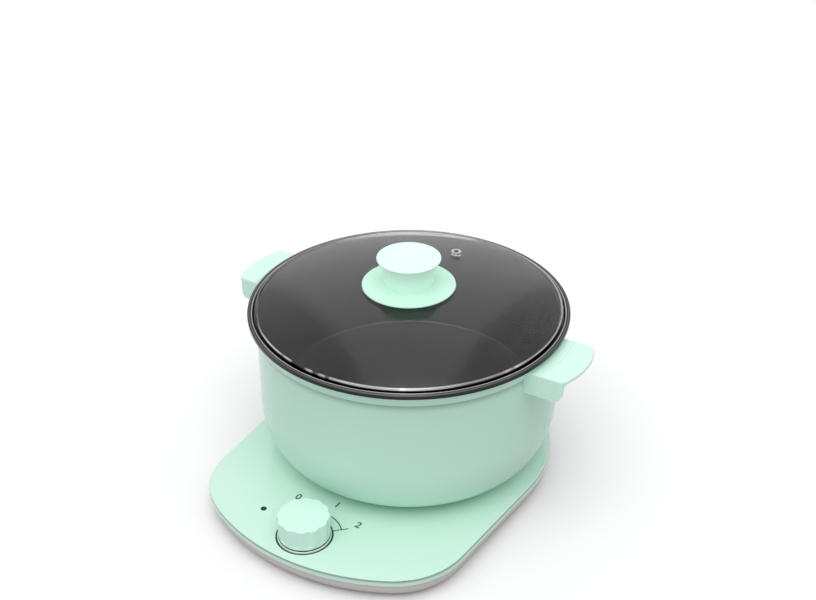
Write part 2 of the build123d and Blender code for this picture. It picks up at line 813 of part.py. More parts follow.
def housing_envelope():
    """The housing without its hollow, to shape what sits on its outside."""
    top = rim_z - collar_top_drop
    edges = housing_profile()
    edges += Polyline((collar_top_radius, top), (0, top), (0, pot_z), (pot_flat_radius, pot_z))
    return turned(edges)


def pan_underside_z():
    return ledge_z - pan_wall


def bottom_screw_places():
    return on_circle(bottom_screw_circle, bottom_screws_count, bottom_screw_start)


def pillar_places():
    return on_circle(pillar_circle, pillars_count, pillar_start)


def outer_housing():
    floor_z = pot_z + 2 * housing_floor
    inner_radius = pot_wall_radius - housing_wall
    shoulder_z = rim_z - pot_shoulder_drop
    run = inner_radius - housing_inner_flat
    rise = shoulder_z - floor_z
    seat_z = pan_underside_z() - gasket_thickness
    top = rim_z - collar_top_drop
    lip = pan_pocket_radius + housing_lip_gap
    edges = housing_profile()
    edges += Polyline((collar_top_radius, top), (lip, top), (lip, seat_z), (inner_radius, seat_z),
                      (inner_radius, shoulder_z))
    edges += Bezier((inner_radius, shoulder_z), (inner_radius, shoulder_z - pot_curve_fullness * rise),
                    (housing_inner_flat + pot_curve_fullness * run, floor_z), (housing_inner_flat, floor_z))
    rebate = bottom_cover_radius + bottom_cover_gap
    edges += Polyline((housing_inner_flat, floor_z), (housing_hole_radius, floor_z),
                      (housing_hole_radius, pot_z + housing_floor), (rebate, pot_z + housing_floor),
                      (rebate, pot_z), (pot_flat_radius, pot_z))
    housing = turned(edges)
    boss_top = floor_z + bottom_screw_boss
    for at in bottom_screw_places():
        housing += disc(bottom_boss_radius, floor_z, boss_top, at)
        housing -= disc(bottom_screw_radius, pot_z + housing_floor, boss_top - screw_tip_gap, at)
    return housing - handle_screws()


def rim_gasket():
    low = pan_underside_z() - gasket_thickness
    inner = pot_wall_radius - housing_wall + gasket_inset
    return ring(inner, ledge_outer_radius, low, low + gasket_thickness)


def pan_inside():
    """Inner line of the pan: floor, round corner, wall, shoulder, ledge, middle step and bead."""
    corner_z = pan_floor_z + pan_corner
    wall_z = ledge_z - ledge_round
    shoulder_radius = (pan_top_radius + ledge_radius) / 2
    step_z = rim_z - step_drop
    edges = Polyline((0, pan_floor_z), (pan_floor_radius, pan_floor_z))
    edges += Bezier((pan_floor_radius, pan_floor_z), (pan_low_radius - pan_corner / 8, pan_floor_z),
                    (pan_low_radius, pan_floor_z + pan_corner / 8), (pan_low_radius, corner_z))
    edges += Line((pan_low_radius, corner_z), (pan_top_radius, wall_z))
    edges += Bezier((pan_top_radius, wall_z), (pan_top_radius, ledge_z - ledge_round / 2),
                    (shoulder_radius, ledge_z), (ledge_radius, ledge_z))
    edges += Polyline((ledge_radius, ledge_z), (ledge_outer_radius, ledge_z), (ledge_outer_radius, step_z),
                      (step_radius, step_z), (bead_inner_radius, rim_z - bead_ease),
                      (bead_inner_radius + bead_ease, rim_z), (rim_radius - bead_round, rim_z))
    edges += Bezier((rim_radius - bead_round, rim_z), (rim_radius, rim_z), (rim_radius, rim_z - bead_round))
    return edges


def inner_pot():
    """Pressed pan with a stepped rim that carries the lid, drawn as one closed section."""
    under = pan_underside_z()
    corner_z = pan_floor_z + pan_corner
    edge_low = rim_z - rim_edge_height
    sheet_z = rim_z - pan_wall
    outer_low = pan_low_radius + pan_wall
    round_in = pan_corner / 8
    edges = pan_inside()
    hem = rim_radius - rim_hem
    edges += Polyline((rim_radius, rim_z - bead_round), (rim_radius, edge_low), (hem, edge_low),
                      (hem, sheet_z), (bead_inner_radius + pan_wall, sheet_z),
                      (pan_pocket_radius, sheet_z - step_drop), (pan_pocket_radius, under),
                      (pan_top_radius + pan_wall, under), (outer_low, corner_z))
    floor_under = pan_floor_z - pan_wall
    edges += Bezier((outer_low, corner_z), (outer_low, floor_under + round_in),
                    (outer_low - round_in, floor_under), (pan_floor_radius, floor_under))
    edges += Polyline((pan_floor_radius, floor_under), (0, floor_under), (0, pan_floor_z))
    return turned(edges)


def bottom_cover():
    top = pot_z + housing_floor
    cover = disc(bottom_cover_radius, pot_z, top)
    cover -= disc(socket_radius, pot_z, top)
    for at in pillar_places():
        cover += disc(pillar_radius, top - housing_floor / 2, shield_z, at)
        cover -= disc(stud_radius + stud_clearance, pot_z, shield_z, at)
        cover -= disc(stud_nut_across * stud_pocket_share, pot_z, pot_z + stud_pocket, at)
    for at in on_circle(socket_screw_circle, socket_screws_count, 0):
        cover += disc(socket_post_radius, top - housing_floor / 2, pot_z + socket_flange_height, at)
        cover -= disc(bottom_screw_radius, pot_z + screw_tip_gap, pot_z + socket_flange_height, at)
    for at in bottom_screw_places():
        cover -= disc(bottom_screw_radius, pot_z, top, at)
        cover -= disc(bottom_screw_recess[0], pot_z, pot_z + bottom_screw_recess[1], at)
    for at in on_circle(pot_pad_circle, pot_pads_count, 45):
        cover -= disc(pot_pad_radius, pot_z, pot_z + pot_pad_recess, at)
    return cover


def bottom_cover_screws():
    low = pot_z + bottom_screw_recess[1]
    tip = pot_z + 2 * housing_floor + bottom_screw_boss - 2 * screw_tip_gap
    return joined(cap_screw(bottom_screw_radius, *bottom_screw_head, low, tip, at)
                  for at in bottom_screw_places())


def pot_pads():
    return joined(disc(pot_pad_radius, base_height, pot_z + pot_pad_recess, at)
                  for at in on_circle(pot_pad_circle, pot_pads_count, 45))


def connector_socket():
    """Cup that drops over the tower, flared at the mouth, with a flange for its screws."""
    flange_z = pot_z + socket_flange_height
    roof_top = socket_roof_z + socket_roof
    flare_z = pot_z + socket_mouth_land + skirt_rise
    flange_top = flange_z + socket_flange_thickness
    body = turned([(socket_mouth, pot_z), (socket_radius, pot_z), (socket_radius, flange_z),
                   (socket_flange_radius, flange_z), (socket_flange_radius, flange_top),
                   (socket_radius - socket_shoulder, flange_top),
                   (socket_bore + socket_roof_margin, roof_top),
                   (0, roof_top), (0, socket_roof_z), (socket_bore, socket_roof_z), (socket_bore, flare_z),
                   (socket_mouth, pot_z + socket_mouth_land)])
    for at in on_circle(socket_screw_circle, socket_screws_count, 0):
        body -= disc(bottom_screw_radius, flange_z, flange_z + socket_flange_thickness, at)
    return body - live_sleeve() - neutral_sleeve() - earth_pin()


def socket_sleeve(radius, angle):
    """Contact sleeve that dips into one groove, with a tab above the socket."""
    low = groove_floor_z + sleeve_clearance
    seat = socket_roof_z + sleeve_seat
    tab_height = socket_roof - sleeve_seat + sleeve_tab_rise
    sleeve = ring(radius - sleeve_wall, radius, low, seat)
    tab = ring(radius - sleeve_wall, radius, seat, seat + tab_height)
    window = Rot(0, 0, angle) * block((radius * 2, terminal_width, tab_height), seat, (radius, 0))
    return sleeve + (tab & window)


def neutral_sleeve():
    return socket_sleeve(outer_groove[1] - contact_wall - contact_gap, 0)


def live_sleeve():
    return socket_sleeve(inner_groove[1] - contact_wall - contact_gap, 180)


def earth_pin():
    low = groove_floor_z + sleeve_clearance
    top = socket_roof_z + socket_roof + sleeve_tab_rise
    return disc(earth_pin_radius, low, top)


def socket_screws():
    top = pot_z + socket_flange_height + socket_flange_thickness
    tip = pot_z + 2 * screw_tip_gap
    return joined(disc(bottom_screw_radius, tip, top, at)
                  + disc(socket_screw_head[0], top, top + socket_screw_head[1], at)
                  for at in on_circle(socket_screw_circle, socket_screws_count, 0))


# ---------------------------------------------------------------- heater pieces
def heat_plate():
    plate = disc(plate_radius, plate_low_z, plate_low_z + plate_thickness)
    return chamfer(plate.faces().sort_by(Axis.Z)[0].edges(), plate_chamfer)


def heating_element():
    """Sheathed tube brazed in a ring under the plate, both ends turned down side by side."""
    z = plate_low_z - element_radius
    leg_low = z - element_leg
    half_gap = element_gap_angle / 2
    start = element_ends()[0]
    along = polar(1, 90 + half_gap)
    loop = Pos(0, 0, z) * CenterArc((0, 0), element_circle, half_gap, 360 - element_gap_angle)
    section = Plane(origin=(start[0], start[1], z), z_dir=(along[0], along[1], 0)) * Circle(element_radius)
    tube = sweep(section, path=loop)
    for at in element_ends():
        tube += Pos(at[0], at[1], z) * Sphere(element_radius)
        tube += disc(element_radius, leg_low, z, at)
        tube += disc(element_pin[0], leg_low - element_pin[1], leg_low, at)
    return tube


def element_ends():
    half_gap = element_gap_angle / 2
    return [polar(element_circle, half_gap), polar(element_circle, -half_gap)]


def heat_shield():
    inner = shield_radius - shield_sheet
    top = shield_z + shield_sheet
    lip_top = shield_z + shield_lip
    shield = turned([(shield_hole, shield_z), (shield_radius, shield_z), (shield_radius, lip_top),
                     (inner, lip_top), (inner, top), (shield_hole, top)])
    for at in pillar_places():
        shield -= disc(stud_radius + stud_clearance, shield_z, top, at)
    for at in element_ends():
        shield -= disc(element_radius + element_clearance, shield_z, top, at)
    return shield


def plate_studs():
    low = pot_z + stud_pocket - stud_nut_height - stud_proud
    return joined(disc(stud_radius, low, plate_low_z, at) for at in pillar_places())


def stud_nuts():
    nut = RegularPolygon(stud_nut_across / 2, 6, major_radius=False) - Circle(stud_radius)
    low = pot_z + stud_pocket - stud_nut_height
    return joined(Pos(at[0], at[1], low) * extrude(nut, stud_nut_height) for at in pillar_places())


def shield_nuts():
    """Spacer nuts that clamp the shield on its pillars."""
    nut = RegularPolygon(stud_nut_across / 2, 6, major_radius=False) - Circle(stud_radius)
    low = shield_z + shield_sheet
    return joined(Pos(at[0], at[1], low) * extrude(nut, stud_nut_height) for at in pillar_places())


def thermostat_screw_places():
    reach = thermostat_ear / 2 - thermostat_screw_inset
    return [(-reach, 0.0), (reach, 0.0)]


def thermostat():
    ear_low = plate_low_z - thermostat_ear_sheet
    low = plate_low_z - thermostat_height
    body = disc(thermostat_radius, low, ear_low)
    ears = SlotOverall(thermostat_ear, 2 * thermostat_radius - thermostat_ear_trim)
    body += Pos(0, 0, ear_low) * extrude(ears, thermostat_ear_sheet)
    for side in (-1, 1):
        body += block(thermostat_tab, low - thermostat_tab[2], (side * thermostat_tab_reach, 0))
    for at in thermostat_screw_places():
        body -= disc(thermostat_screw_radius, ear_low, plate_low_z, at)
    return body


def thermostat_screws():
    ear_low = plate_low_z - thermostat_ear_sheet
    return joined(disc(thermostat_screw_radius, ear_low, plate_low_z, at)
                  + disc(thermostat_screw_head[0], ear_low - thermostat_screw_head[1], ear_low, at)
                  for at in thermostat_screw_places())


def thermal_fuse():
    axis_z = plate_low_z - fuse_radius
    body = Cylinder(fuse_radius, fuse_length, rotation=(0, 90, 0))
    leads = Cylinder(fuse_lead_radius, fuse_length + 2 * fuse_lead, rotation=(0, 90, 0))
    return Pos(0, fuse_offset, axis_z) * (body + leads)


def fuse_strap_clip():
    """Bent strip that holds the fuse against the plate."""
    outer = fuse_radius + fuse_strap
    axis_z = plate_low_z - fuse_radius
    half_ring = Circle(outer) - Pos(0, outer) * Rectangle(2 * outer, 2 * outer)
    arch = half_ring + Pos(0, fuse_radius / 2) * Rectangle(2 * outer, fuse_radius)
    arch += Pos(0, fuse_radius - fuse_strap / 2) * Rectangle(2 * (outer + fuse_strap_wing), fuse_strap)
    arch -= Circle(fuse_radius) + Pos(0, fuse_radius / 2) * Rectangle(2 * fuse_radius, fuse_radius)
    strip = extrude(Plane.YZ * arch, fuse_strap_width / 2, both=True)
    return Pos(0, fuse_offset, axis_z) * strip


# ---------------------------------------------------------------- handles
def handle_plan():
    """Grip seen from above: rounded corners and a bowed outer edge."""
    corner = (handle_corner_reach, handle_half_width)
    root = (handle_root_reach, handle_root_half_width)
    edges = Polyline((corner[0], -corner[1]), (root[0], -root[1]), root, corner)
    edges += ThreePointArc((corner[0], -corner[1]), (handle_reach, 0), corner)
    plan = make_face(edges)
    corners = plan.vertices().filter_by(lambda v: v.X > pot_wall_radius)
    return fillet(corners, handle_corner_round)


def handle_side():
    """Side view of the grip: thin edge, then cheeks that curve in to their foot."""
    top = rim_z - handle_drop
    foot = top - handle_depth
    edge = top - handle_plate
    neck = edge - handle_cheek_neck
    past = handle_reach + handle_plate
    foot_reach = handle_corner_reach - handle_foot_back
    edges = Polyline((handle_corner_reach, neck), (past, edge), (past, top), (handle_root_reach, top),
                     (handle_root_reach, foot), (foot_reach, foot))
    edges += Bezier((foot_reach, foot), (handle_corner_reach, foot),
                    (handle_corner_reach, foot + handle_foot_bend), (handle_corner_reach, neck))
    return make_face(Plane.XZ * edges)


def handle_step_cutter():
    """Sunk strip of the grip beside the rim, with a sloping edge."""
    top = rim_z - handle_drop
    reach = rim_radius + handle_step_reach
    low = top - handle_step
    return turned([(0, low), (reach, low), (reach + handle_step_slope, top), (0, top)])


def right_handle():
    top = rim_z - handle_drop
    foot = top - handle_depth
    grip = Pos(0, 0, foot) * extrude(handle_plan(), handle_depth)
    grip &= extrude(handle_side(), handle_root_half_width + handle_cheek, both=True)
    rim_edges = grip.faces().sort_by(Axis.Z)[-1].edges()
    outside = rim_edges.filter_by(lambda e: e.center().X > handle_root_reach + handle_edge_round)
    grip = fillet(outside, handle_edge_round)
    gap_width = 2 * (handle_half_width - handle_cheek)
    gap_length = 2 * (handle_reach - pot_wall_radius)
    gap = extrude(RectangleRounded(gap_length, gap_width, handle_gap_round), handle_depth - handle_plate)
    grip -= Pos(pot_wall_radius + handle_root + gap_length / 2, 0, foot) * gap
    return grip - handle_step_cutter() - housing_envelope()


def handle_screws():
    z = rim_z - handle_screw_drop
    inner = pot_wall_radius - housing_wall
    screws = []
    for side in (0, 180):
        for angle in (side - handle_screw_angle, side + handle_screw_angle):
            cone = turned([(0, 0), (handle_screw_head, 0), (handle_screw_radius, handle_screw_cone),
                           (handle_screw_radius, handle_screw_length), (0, handle_screw_length)])
            screws.append(Rot(0, 0, angle) * Pos(inner - handle_screw_seat, 0, z) * Rot(0, 90, 0) * cone)
    return joined(screws)


def handle_right():
    return right_handle() - handle_screws()


def handle_left():
    return right_handle().mirror(Plane.YZ) - handle_screws()


# ---------------------------------------------------------------- lid pieces
def dome_z(radius, thickness=0.0):
    """Height of the dome, or of a surface that lies this far under it."""
    return dome_centre_z + sqrt((dome_radius - thickness) ** 2 - radius ** 2)


def dome_arc(radius_from, radius_to, thickness=0.0):
    middle = (radius_from + radius_to) / 2
    return ThreePointArc((radius_from, dome_z(radius_from, thickness)), (middle, dome_z(middle, thickness)),
                         (radius_to, dome_z(radius_to, thickness)))


def vent_place():
    return (vent_circle * cos(radians(vent_angle)), vent_circle * sin(radians(vent_angle)))


def glass_lid():
    """Domed glass with a ground edge, a hole for the knob's screw and one for the vent."""
    edge = band_radius - band_sheet
    low = lid_z + band_sheet
    inner = band_radius - band_foot
    edges = dome_arc(0, glass_edge_radius)
    edges += Polyline((glass_edge_radius, glass_edge_z), (edge, glass_edge_z), (edge, low), (inner, low),
                      (inner, dome_z(inner, glass_thickness)))
    edges += dome_arc(inner, 0, glass_thickness)
    edges += Line((0, dome_z(0, glass_thickness)), (0, dome_z(0)))
    glass = turned(edges)
    glass -= disc(lid_hole_radius, lid_z, dome_z(0))
    return glass - disc(vent_radius + vent_tube, lid_z, dome_z(0), vent_place())


def lid_band():
    """Thin steel band bent round the edge of the glass."""
    over = band_radius - band_lip
    foot = band_radius - band_foot
    wall = band_radius - band_sheet
    top = lid_z + band_height
    return turned([(foot, lid_z), (band_radius - band_edge, lid_z), (band_radius, lid_z + band_edge),
                   (band_radius, top - band_edge), (band_radius - band_edge, top), (over, top),
                   (over, top - band_sheet), (wall, top - band_sheet), (wall, lid_z + band_sheet),
                   (foot, lid_z + band_sheet)])


def disc_top_z(radius):
    return dome_z(radius, -knob_disc_thickness)


def lid_knob_disc():
    """Thin saucer that follows the dome under the knob."""
    edge = knob_disc_radius
    turn = edge - knob_disc_edge
    under_z = dome_z(edge, -knob_disc_gap)
    edges = dome_arc(lid_hole_radius, edge, -knob_disc_gap)
    edges += Bezier((edge, under_z), (edge, disc_top_z(edge)), (turn, disc_top_z(turn)))
    edges += dome_arc(turn, lid_hole_radius, -knob_disc_thickness)
    edges += Line((lid_hole_radius, disc_top_z(lid_hole_radius)),
                  (lid_hole_radius, dome_z(lid_hole_radius, -knob_disc_gap)))
    return turned(edges)


def lid_knob():
    """Hollow knob: slim stem, flare to a thin lip, shallow dish in the top."""
    foot = disc_top_z(lid_stem_foot_radius)
    top = dome_z(0) + knob_disc_thickness + lid_knob_height
    lip = top - lid_lip_height
    dish = top - lid_dish_depth
    roof = dish - lid_knob_wall
    inner_foot = lid_stem_foot_radius - lid_knob_wall
    dish_edge = lid_dish_radius + lid_dish_slope
    edges = dome_arc(inner_foot, lid_stem_foot_radius, -knob_disc_thickness)
    edges += Bezier((lid_stem_foot_radius, foot),
                    (lid_stem_foot_radius + lid_stem_swell[0], foot + lid_stem_swell[1]),
                    (lid_knob_radius - lid_stem_neck[0], lip - lid_stem_neck[1]), (lid_knob_radius, lip))
    lip_top = lid_knob_radius - lid_lip_height
    edges += Bezier((lid_knob_radius, lip), (lid_knob_radius, top), (lip_top, top))
    edges += Polyline((lip_top, top), (dish_edge, top), (lid_dish_radius, dish), (0, dish), (0, roof),
                      (inner_foot, roof), (inner_foot, disc_top_z(inner_foot)))
    knob = turned(edges)
    hub_foot = disc_top_z(lid_hole_radius)
    rib_foot = hub_foot + lid_rib_drop
    knob += disc(lid_hub_radius, hub_foot, roof)
    for angle in lid_rib_angles:
        rib = block((inner_foot - lid_hub_radius / 2, lid_rib, roof - rib_foot), rib_foot,
                    ((inner_foot + lid_hub_radius / 2) / 2, 0))
        knob += Rot(0, 0, angle) * rib
    return knob - disc(lid_screw_radius, hub_foot, hub_foot + lid_screw_hole)


def lid_screw():
    seat = dome_z(lid_washer_radius, glass_thickness) - lid_washer_thickness
    edge = seat - lid_head_edge
    tip = edge - lid_head_crown[1]
    head = turned([(0, seat), (lid_screw_head, seat), (lid_screw_head, edge),
                   (lid_head_crown[0], tip), (0, tip)])
    return head + disc(lid_screw_radius, seat, dome_z(0) + knob_disc_thickness + lid_screw_bite)


def lid_washer():
    seat = dome_z(lid_washer_radius, glass_thickness)
    return ring(lid_screw_radius, lid_washer_radius, seat - lid_washer_thickness, seat)


def vent_eyelet():
    """Rolled steam-vent eyelet through the glass."""
    at = vent_place()
    top = dome_z(vent_circle - vent_lip_radius) + vent_lip
    under = dome_z(vent_circle + vent_lip_radius, glass_thickness) - vent_lip
    seat_top = dome_z(vent_circle)
    seat_low = dome_z(vent_circle, glass_thickness)
    eyelet = ring(vent_radius, vent_radius + vent_tube, under, top, at)
    eyelet += ring(vent_radius, vent_lip_radius, seat_top, top, at)
    eyelet += ring(vent_radius, vent_lip_radius, under, seat_low, at)
    return eyelet - glass_lid()


PARTS = [
    base_top_cover, base_tray, base_feet, base_screws, cord_gland, cord_clamp, clamp_screws,
    terminal_block, terminal_screws, trim_ring, connector_tower, outer_contact, inner_contact,
    earth_contact, connector_screws, knob_bezel, regulator_body, regulator_nut, indicator_lens,
    indicator_led, control_board, board_screws, heat_sink, control_knob, regulator_shaft, knob_clip,
    outer_housing, rim_gasket, inner_pot, bottom_cover, bottom_cover_screws, pot_pads,
    connector_socket, neutral_sleeve, live_sleeve, earth_pin, socket_screws, heat_plate,
    heating_element, heat_shield, plate_studs, stud_nuts, shield_nuts, thermostat, thermostat_screws,
    thermal_fuse, fuse_strap_clip, handle_right, handle_left, handle_screws, glass_lid, lid_band,
    lid_knob_disc, lid_knob, lid_screw, lid_washer, vent_eyelet,
]

to_footprint_middle = Pos(0, (base_front_reach - rim_radius) / 2, 0)

os.makedirs("parts", exist_ok=True)
for build in PARTS:
    export_step(to_footprint_middle * build(), os.path.join("parts", build.__name__ + ".step"))
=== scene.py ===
import json
import math
import bpy
import numpy as np
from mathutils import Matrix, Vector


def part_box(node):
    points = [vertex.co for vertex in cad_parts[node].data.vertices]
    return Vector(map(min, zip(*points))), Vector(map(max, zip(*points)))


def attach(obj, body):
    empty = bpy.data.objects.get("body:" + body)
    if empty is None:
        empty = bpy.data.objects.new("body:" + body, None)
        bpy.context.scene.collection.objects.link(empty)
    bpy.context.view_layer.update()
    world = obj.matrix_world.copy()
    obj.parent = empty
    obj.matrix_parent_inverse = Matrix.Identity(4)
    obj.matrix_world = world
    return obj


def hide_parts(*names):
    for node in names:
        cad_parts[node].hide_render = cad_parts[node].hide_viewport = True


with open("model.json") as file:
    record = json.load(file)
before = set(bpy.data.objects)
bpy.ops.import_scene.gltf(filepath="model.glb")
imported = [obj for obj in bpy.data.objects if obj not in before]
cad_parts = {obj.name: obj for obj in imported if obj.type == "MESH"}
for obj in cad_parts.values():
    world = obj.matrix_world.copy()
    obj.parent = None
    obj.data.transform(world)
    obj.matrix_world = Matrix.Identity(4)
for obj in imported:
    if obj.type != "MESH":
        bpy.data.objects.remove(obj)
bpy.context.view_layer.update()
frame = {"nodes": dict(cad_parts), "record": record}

nodes = frame["nodes"]
mm = 0.001


def middle(node):
    low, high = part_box(node)
    return (np.array(low) + np.array(high)) / 2


# The connector's axis carries the pot and the lid; every level comes from the solids' own boxes.
axisX, axisY = middle("connector_tower")[:2]
axisPoint = (float(axisX), float(axisY), 0.0)
knobX, knobY = middle("control_knob")[:2]
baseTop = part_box("base_top_cover")[1][2]
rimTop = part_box("inner_pot")[1][2]
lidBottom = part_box("glass_lid")[0][2]


# Short ways to wire a shader. A value is a plain number, a tuple or the output of another node.
def feed(tree, value, socket):
    if isinstance(value, bpy.types.NodeSocket):
        tree.links.new(value, socket)
    else:
        socket.default_value = value


def worked(tree, operation, *values):
    # One step of arithmetic.
    node = tree.nodes.new("ShaderNodeMath")
    node.operation = operation
    for value, socket in zip(values, node.inputs):
        feed(tree, value, socket)
    return node.outputs[0]


def ranged(tree, value, low, high, start=0.0, end=1.0, smooth=False):
    # low..high becomes start..end, held at both ends.
    node = tree.nodes.new("ShaderNodeMapRange")
    node.interpolation_type = "SMOOTHSTEP" if smooth else "LINEAR"
    feed(tree, value, node.inputs["Value"])
    for socket, number in zip(("From Min", "From Max", "To Min", "To Max"), (low, high, start, end)):
        node.inputs[socket].default_value = number
    return node.outputs["Result"]


def combined(tree, *parts):
    node = tree.nodes.new("ShaderNodeCombineXYZ")
    for part, socket in zip(parts, node.inputs):
        feed(tree, part, socket)
    return node.outputs[0]


def fromPoint(tree, centre):
    # The x, y and z of a place, measured from the centre.
    away = tree.nodes.new("ShaderNodeVectorMath")
    away.operation = "SUBTRACT"
    feed(tree, tree.nodes.new("ShaderNodeTexCoord").outputs["Object"], away.inputs[0])
    feed(tree, centre, away.inputs[1])
    split = tree.nodes.new("ShaderNodeSeparateXYZ")
    feed(tree, away.outputs[0], split.inputs[0])
    return split.outputs


def axisRadius(tree, x, y):
    # Distance from the upright axis = sqrt(x^2 + y^2).
    reach = tree.nodes.new("ShaderNodeVectorMath")
    reach.operation = "LENGTH"
    feed(tree, combined(tree, x, y), reach.inputs[0])
    return reach.outputs["Value"]


def noise(tree, place, scale, detail):
    node = tree.nodes.new("ShaderNodeTexNoise")
    for socket, value in (("Vector", place), ("Scale", scale), ("Detail", detail)):
        feed(tree, value, node.inputs[socket])
    return node.outputs["Fac"]


def blended(tree, factor, first, second, kind="RGBA"):
    node = tree.nodes.new("ShaderNodeMix")
    node.data_type = kind
    for socket, value in (("Factor", factor), ("A", first), ("B", second)):
        feed(tree, value, node.inputs[socket])
    return node.outputs["Result"]


def toneRamp(tree, share, stops):
    # Stops are (share, tone); the first stands at 0 and the last at 1.
    ramp = tree.nodes.new("ShaderNodeValToRGB")
    elements = ramp.color_ramp.elements
    elements[0].color = (*stops[0][1], 1)
    elements[1].color = (*stops[-1][1], 1)
    for position, tone in stops[1:-1]:
        elements.new(position).color = (*tone, 1)
    feed(tree, share, ramp.inputs["Fac"])
    return ramp.outputs["Color"]


# Shared shader groups: they put out only colours, masks and heights.
noiseMiddle = 0.5


def addSocket(group, name, direction, kind, value=None):
    socket = group.interface.new_socket(name=name, in_out=direction, socket_type=kind)
    if value is not None:
        socket.default_value = value


def mouldedSkin():
    # Soft cloudy variation of moulded plastic, value + spread * (noise - middle), and the fine
    # pebble left by the tool.
    group = bpy.data.node_groups.new("mouldedSkin", "ShaderNodeTree")
    addSocket(group, "Colour", "INPUT", "NodeSocketColor", (0.5, 0.5, 0.5, 1))
    addSocket(group, "Cloud", "INPUT", "NodeSocketFloat", 0.03)
    addSocket(group, "CloudScale", "INPUT", "NodeSocketFloat", 14.0)
    addSocket(group, "Roughness", "INPUT", "NodeSocketFloat", 0.3)
    addSocket(group, "RoughnessSpread", "INPUT", "NodeSocketFloat", 0.06)
    addSocket(group, "PebbleScale", "INPUT", "NodeSocketFloat", 900.0)
    addSocket(group, "Colour", "OUTPUT", "NodeSocketColor")
    addSocket(group, "Roughness", "OUTPUT", "NodeSocketFloat")
    addSocket(group, "Height", "OUTPUT", "NodeSocketFloat")
    inside = group.nodes.new("NodeGroupInput").outputs
    out = group.nodes.new("NodeGroupOutput").inputs
    place = group.nodes.new("ShaderNodeTexCoord").outputs["Object"]
    cloud = worked(group, "SUBTRACT", noise(group, place, inside["CloudScale"], detail=3.0), noiseMiddle)
    tone = group.nodes.new("ShaderNodeVectorMath")
    tone.operation = "SCALE"
    feed(group, inside["Colour"], tone.inputs[0])
    feed(group, worked(group, "MULTIPLY_ADD", cloud, inside["Cloud"], 1.0), tone.inputs["Scale"])
    rough = worked(group, "MULTIPLY_ADD", cloud, inside["RoughnessSpread"], inside["Roughness"])
    feed(group, tone.outputs[0], out["Colour"])
    feed(group, rough, out["Roughness"])
    feed(group, noise(group, place, inside["PebbleScale"], detail=2.0), out["Height"])
    return group


def turnedMetal():
    # Fine rings round a centre, as a lathe or a polishing wheel leaves them: noise over the distance
    # from the axis and the height.
    group = bpy.data.node_groups.new("turnedMetal", "ShaderNodeTree")
    addSocket(group, "Centre", "INPUT", "NodeSocketVector", (0, 0, 0))
    addSocket(group, "RingScale", "INPUT", "NodeSocketFloat", 1500.0)
    addSocket(group, "Roughness", "INPUT", "NodeSocketFloat", 0.2)
    addSocket(group, "RoughnessSpread", "INPUT", "NodeSocketFloat", 0.1)
    addSocket(group, "Roughness", "OUTPUT", "NodeSocketFloat")
    addSocket(group, "Height", "OUTPUT", "NodeSocketFloat")
    inside = group.nodes.new("NodeGroupInput").outputs
    out = group.nodes.new("NodeGroupOutput").inputs
    x, y, z = fromPoint(group, inside["Centre"])
    rings = noise(group, combined(group, axisRadius(group, x, y), z), inside["RingScale"], detail=2.0)
    swing = worked(group, "SUBTRACT", rings, noiseMiddle)
    rough = worked(group, "MULTIPLY_ADD", swing, inside["RoughnessSpread"], inside["Roughness"])
    feed(group, rough, out["Roughness"])
    feed(group, rings, out["Height"])
    return group


skinGroup = mouldedSkin()
turnedGroup = turnedMetal()
pebbleBump = 0.2 * mm
ringBump = 0.1 * mm


# Looks: lengths in topFrom, tops and the two edges of the painted shade band are in millimetres,
# and an edge is (height from the level, half of its softness).
mintLook = dict(colour=(0.59, 0.86, 0.735), cloud=0.03, cloudScale=9.0, roughness=0.2,
                roughnessSpread=0.06, pebbleScale=1400.0, pebble=0.03,
                shader={"Coat Weight": 0.12, "Coat Roughness": 0.06, "IOR": 1.45})
# The cover's darker band just under its top edge is painted shade.
coverLook = dict(mintLook, colour=(0.62, 0.86, 0.745), roughness=0.14,
                 shader={"Coat Weight": 0.3, "Coat Roughness": 0.05, "IOR": 1.46},
                 seamColour=(0.25, 0.40, 0.325), seamLow=(-2.4, 1.2), seamHigh=(-0.6, 0.15))
# The housing's darker band under its collar is painted shade.
housingLook = dict(mintLook, colour=(0.605, 0.885, 0.755), shader={"IOR": 1.22},
                   seamColour=(0.38, 0.57, 0.475), seamLow=(-16.5, 4.5), seamHigh=(-11.9, 0.1))
trimLook = dict(mintLook, colour=(0.80, 0.98, 0.89))
gripLook = dict(colour=(0.67, 0.94, 0.83), cloud=0.03, cloudScale=20.0, roughness=0.28,
                roughnessSpread=0.06, pebbleScale=1400.0, pebble=0.04, shader={"IOR": 1.46})
# The lid's plastic and its saucer let a little light through, which a faint painted glow of their own
# stands for.
lidPlasticLook = dict(colour=(0.7, 0.985, 0.835), cloud=0.02, cloudScale=20.0, roughness=0.16,
                      roughnessSpread=0.05, pebbleScale=1400.0, pebble=0.03,
                      shader={"IOR": 1.46, "Emission Color": (0.7, 0.985, 0.835, 1),
                              "Emission Strength": 0.13})
lidDiscLook = dict(lidPlasticLook, colour=(0.55, 0.84, 0.7),
                   shader=dict(lidPlasticLook["shader"], **{"Emission Strength": 0.08}))
trayLook = dict(colour=(0.66, 0.62, 0.62), cloud=0.05, cloudScale=30.0, roughness=0.5,
                roughnessSpread=0.1, pebbleScale=1100.0, pebble=0.3, shader={"IOR": 1.46})
rubberLook = dict(colour=(0.03, 0.03, 0.032), cloud=0.1, cloudScale=60.0, roughness=0.75,
                  roughnessSpread=0.1, pebbleScale=900.0, pebble=0.5, shader={"IOR": 1.5})
siliconeLook = dict(colour=(0.55, 0.57, 0.56), cloud=0.05, cloudScale=60.0, roughness=0.5,
                    roughnessSpread=0.1, pebbleScale=900.0, pebble=0.2, shader={"IOR": 1.42})
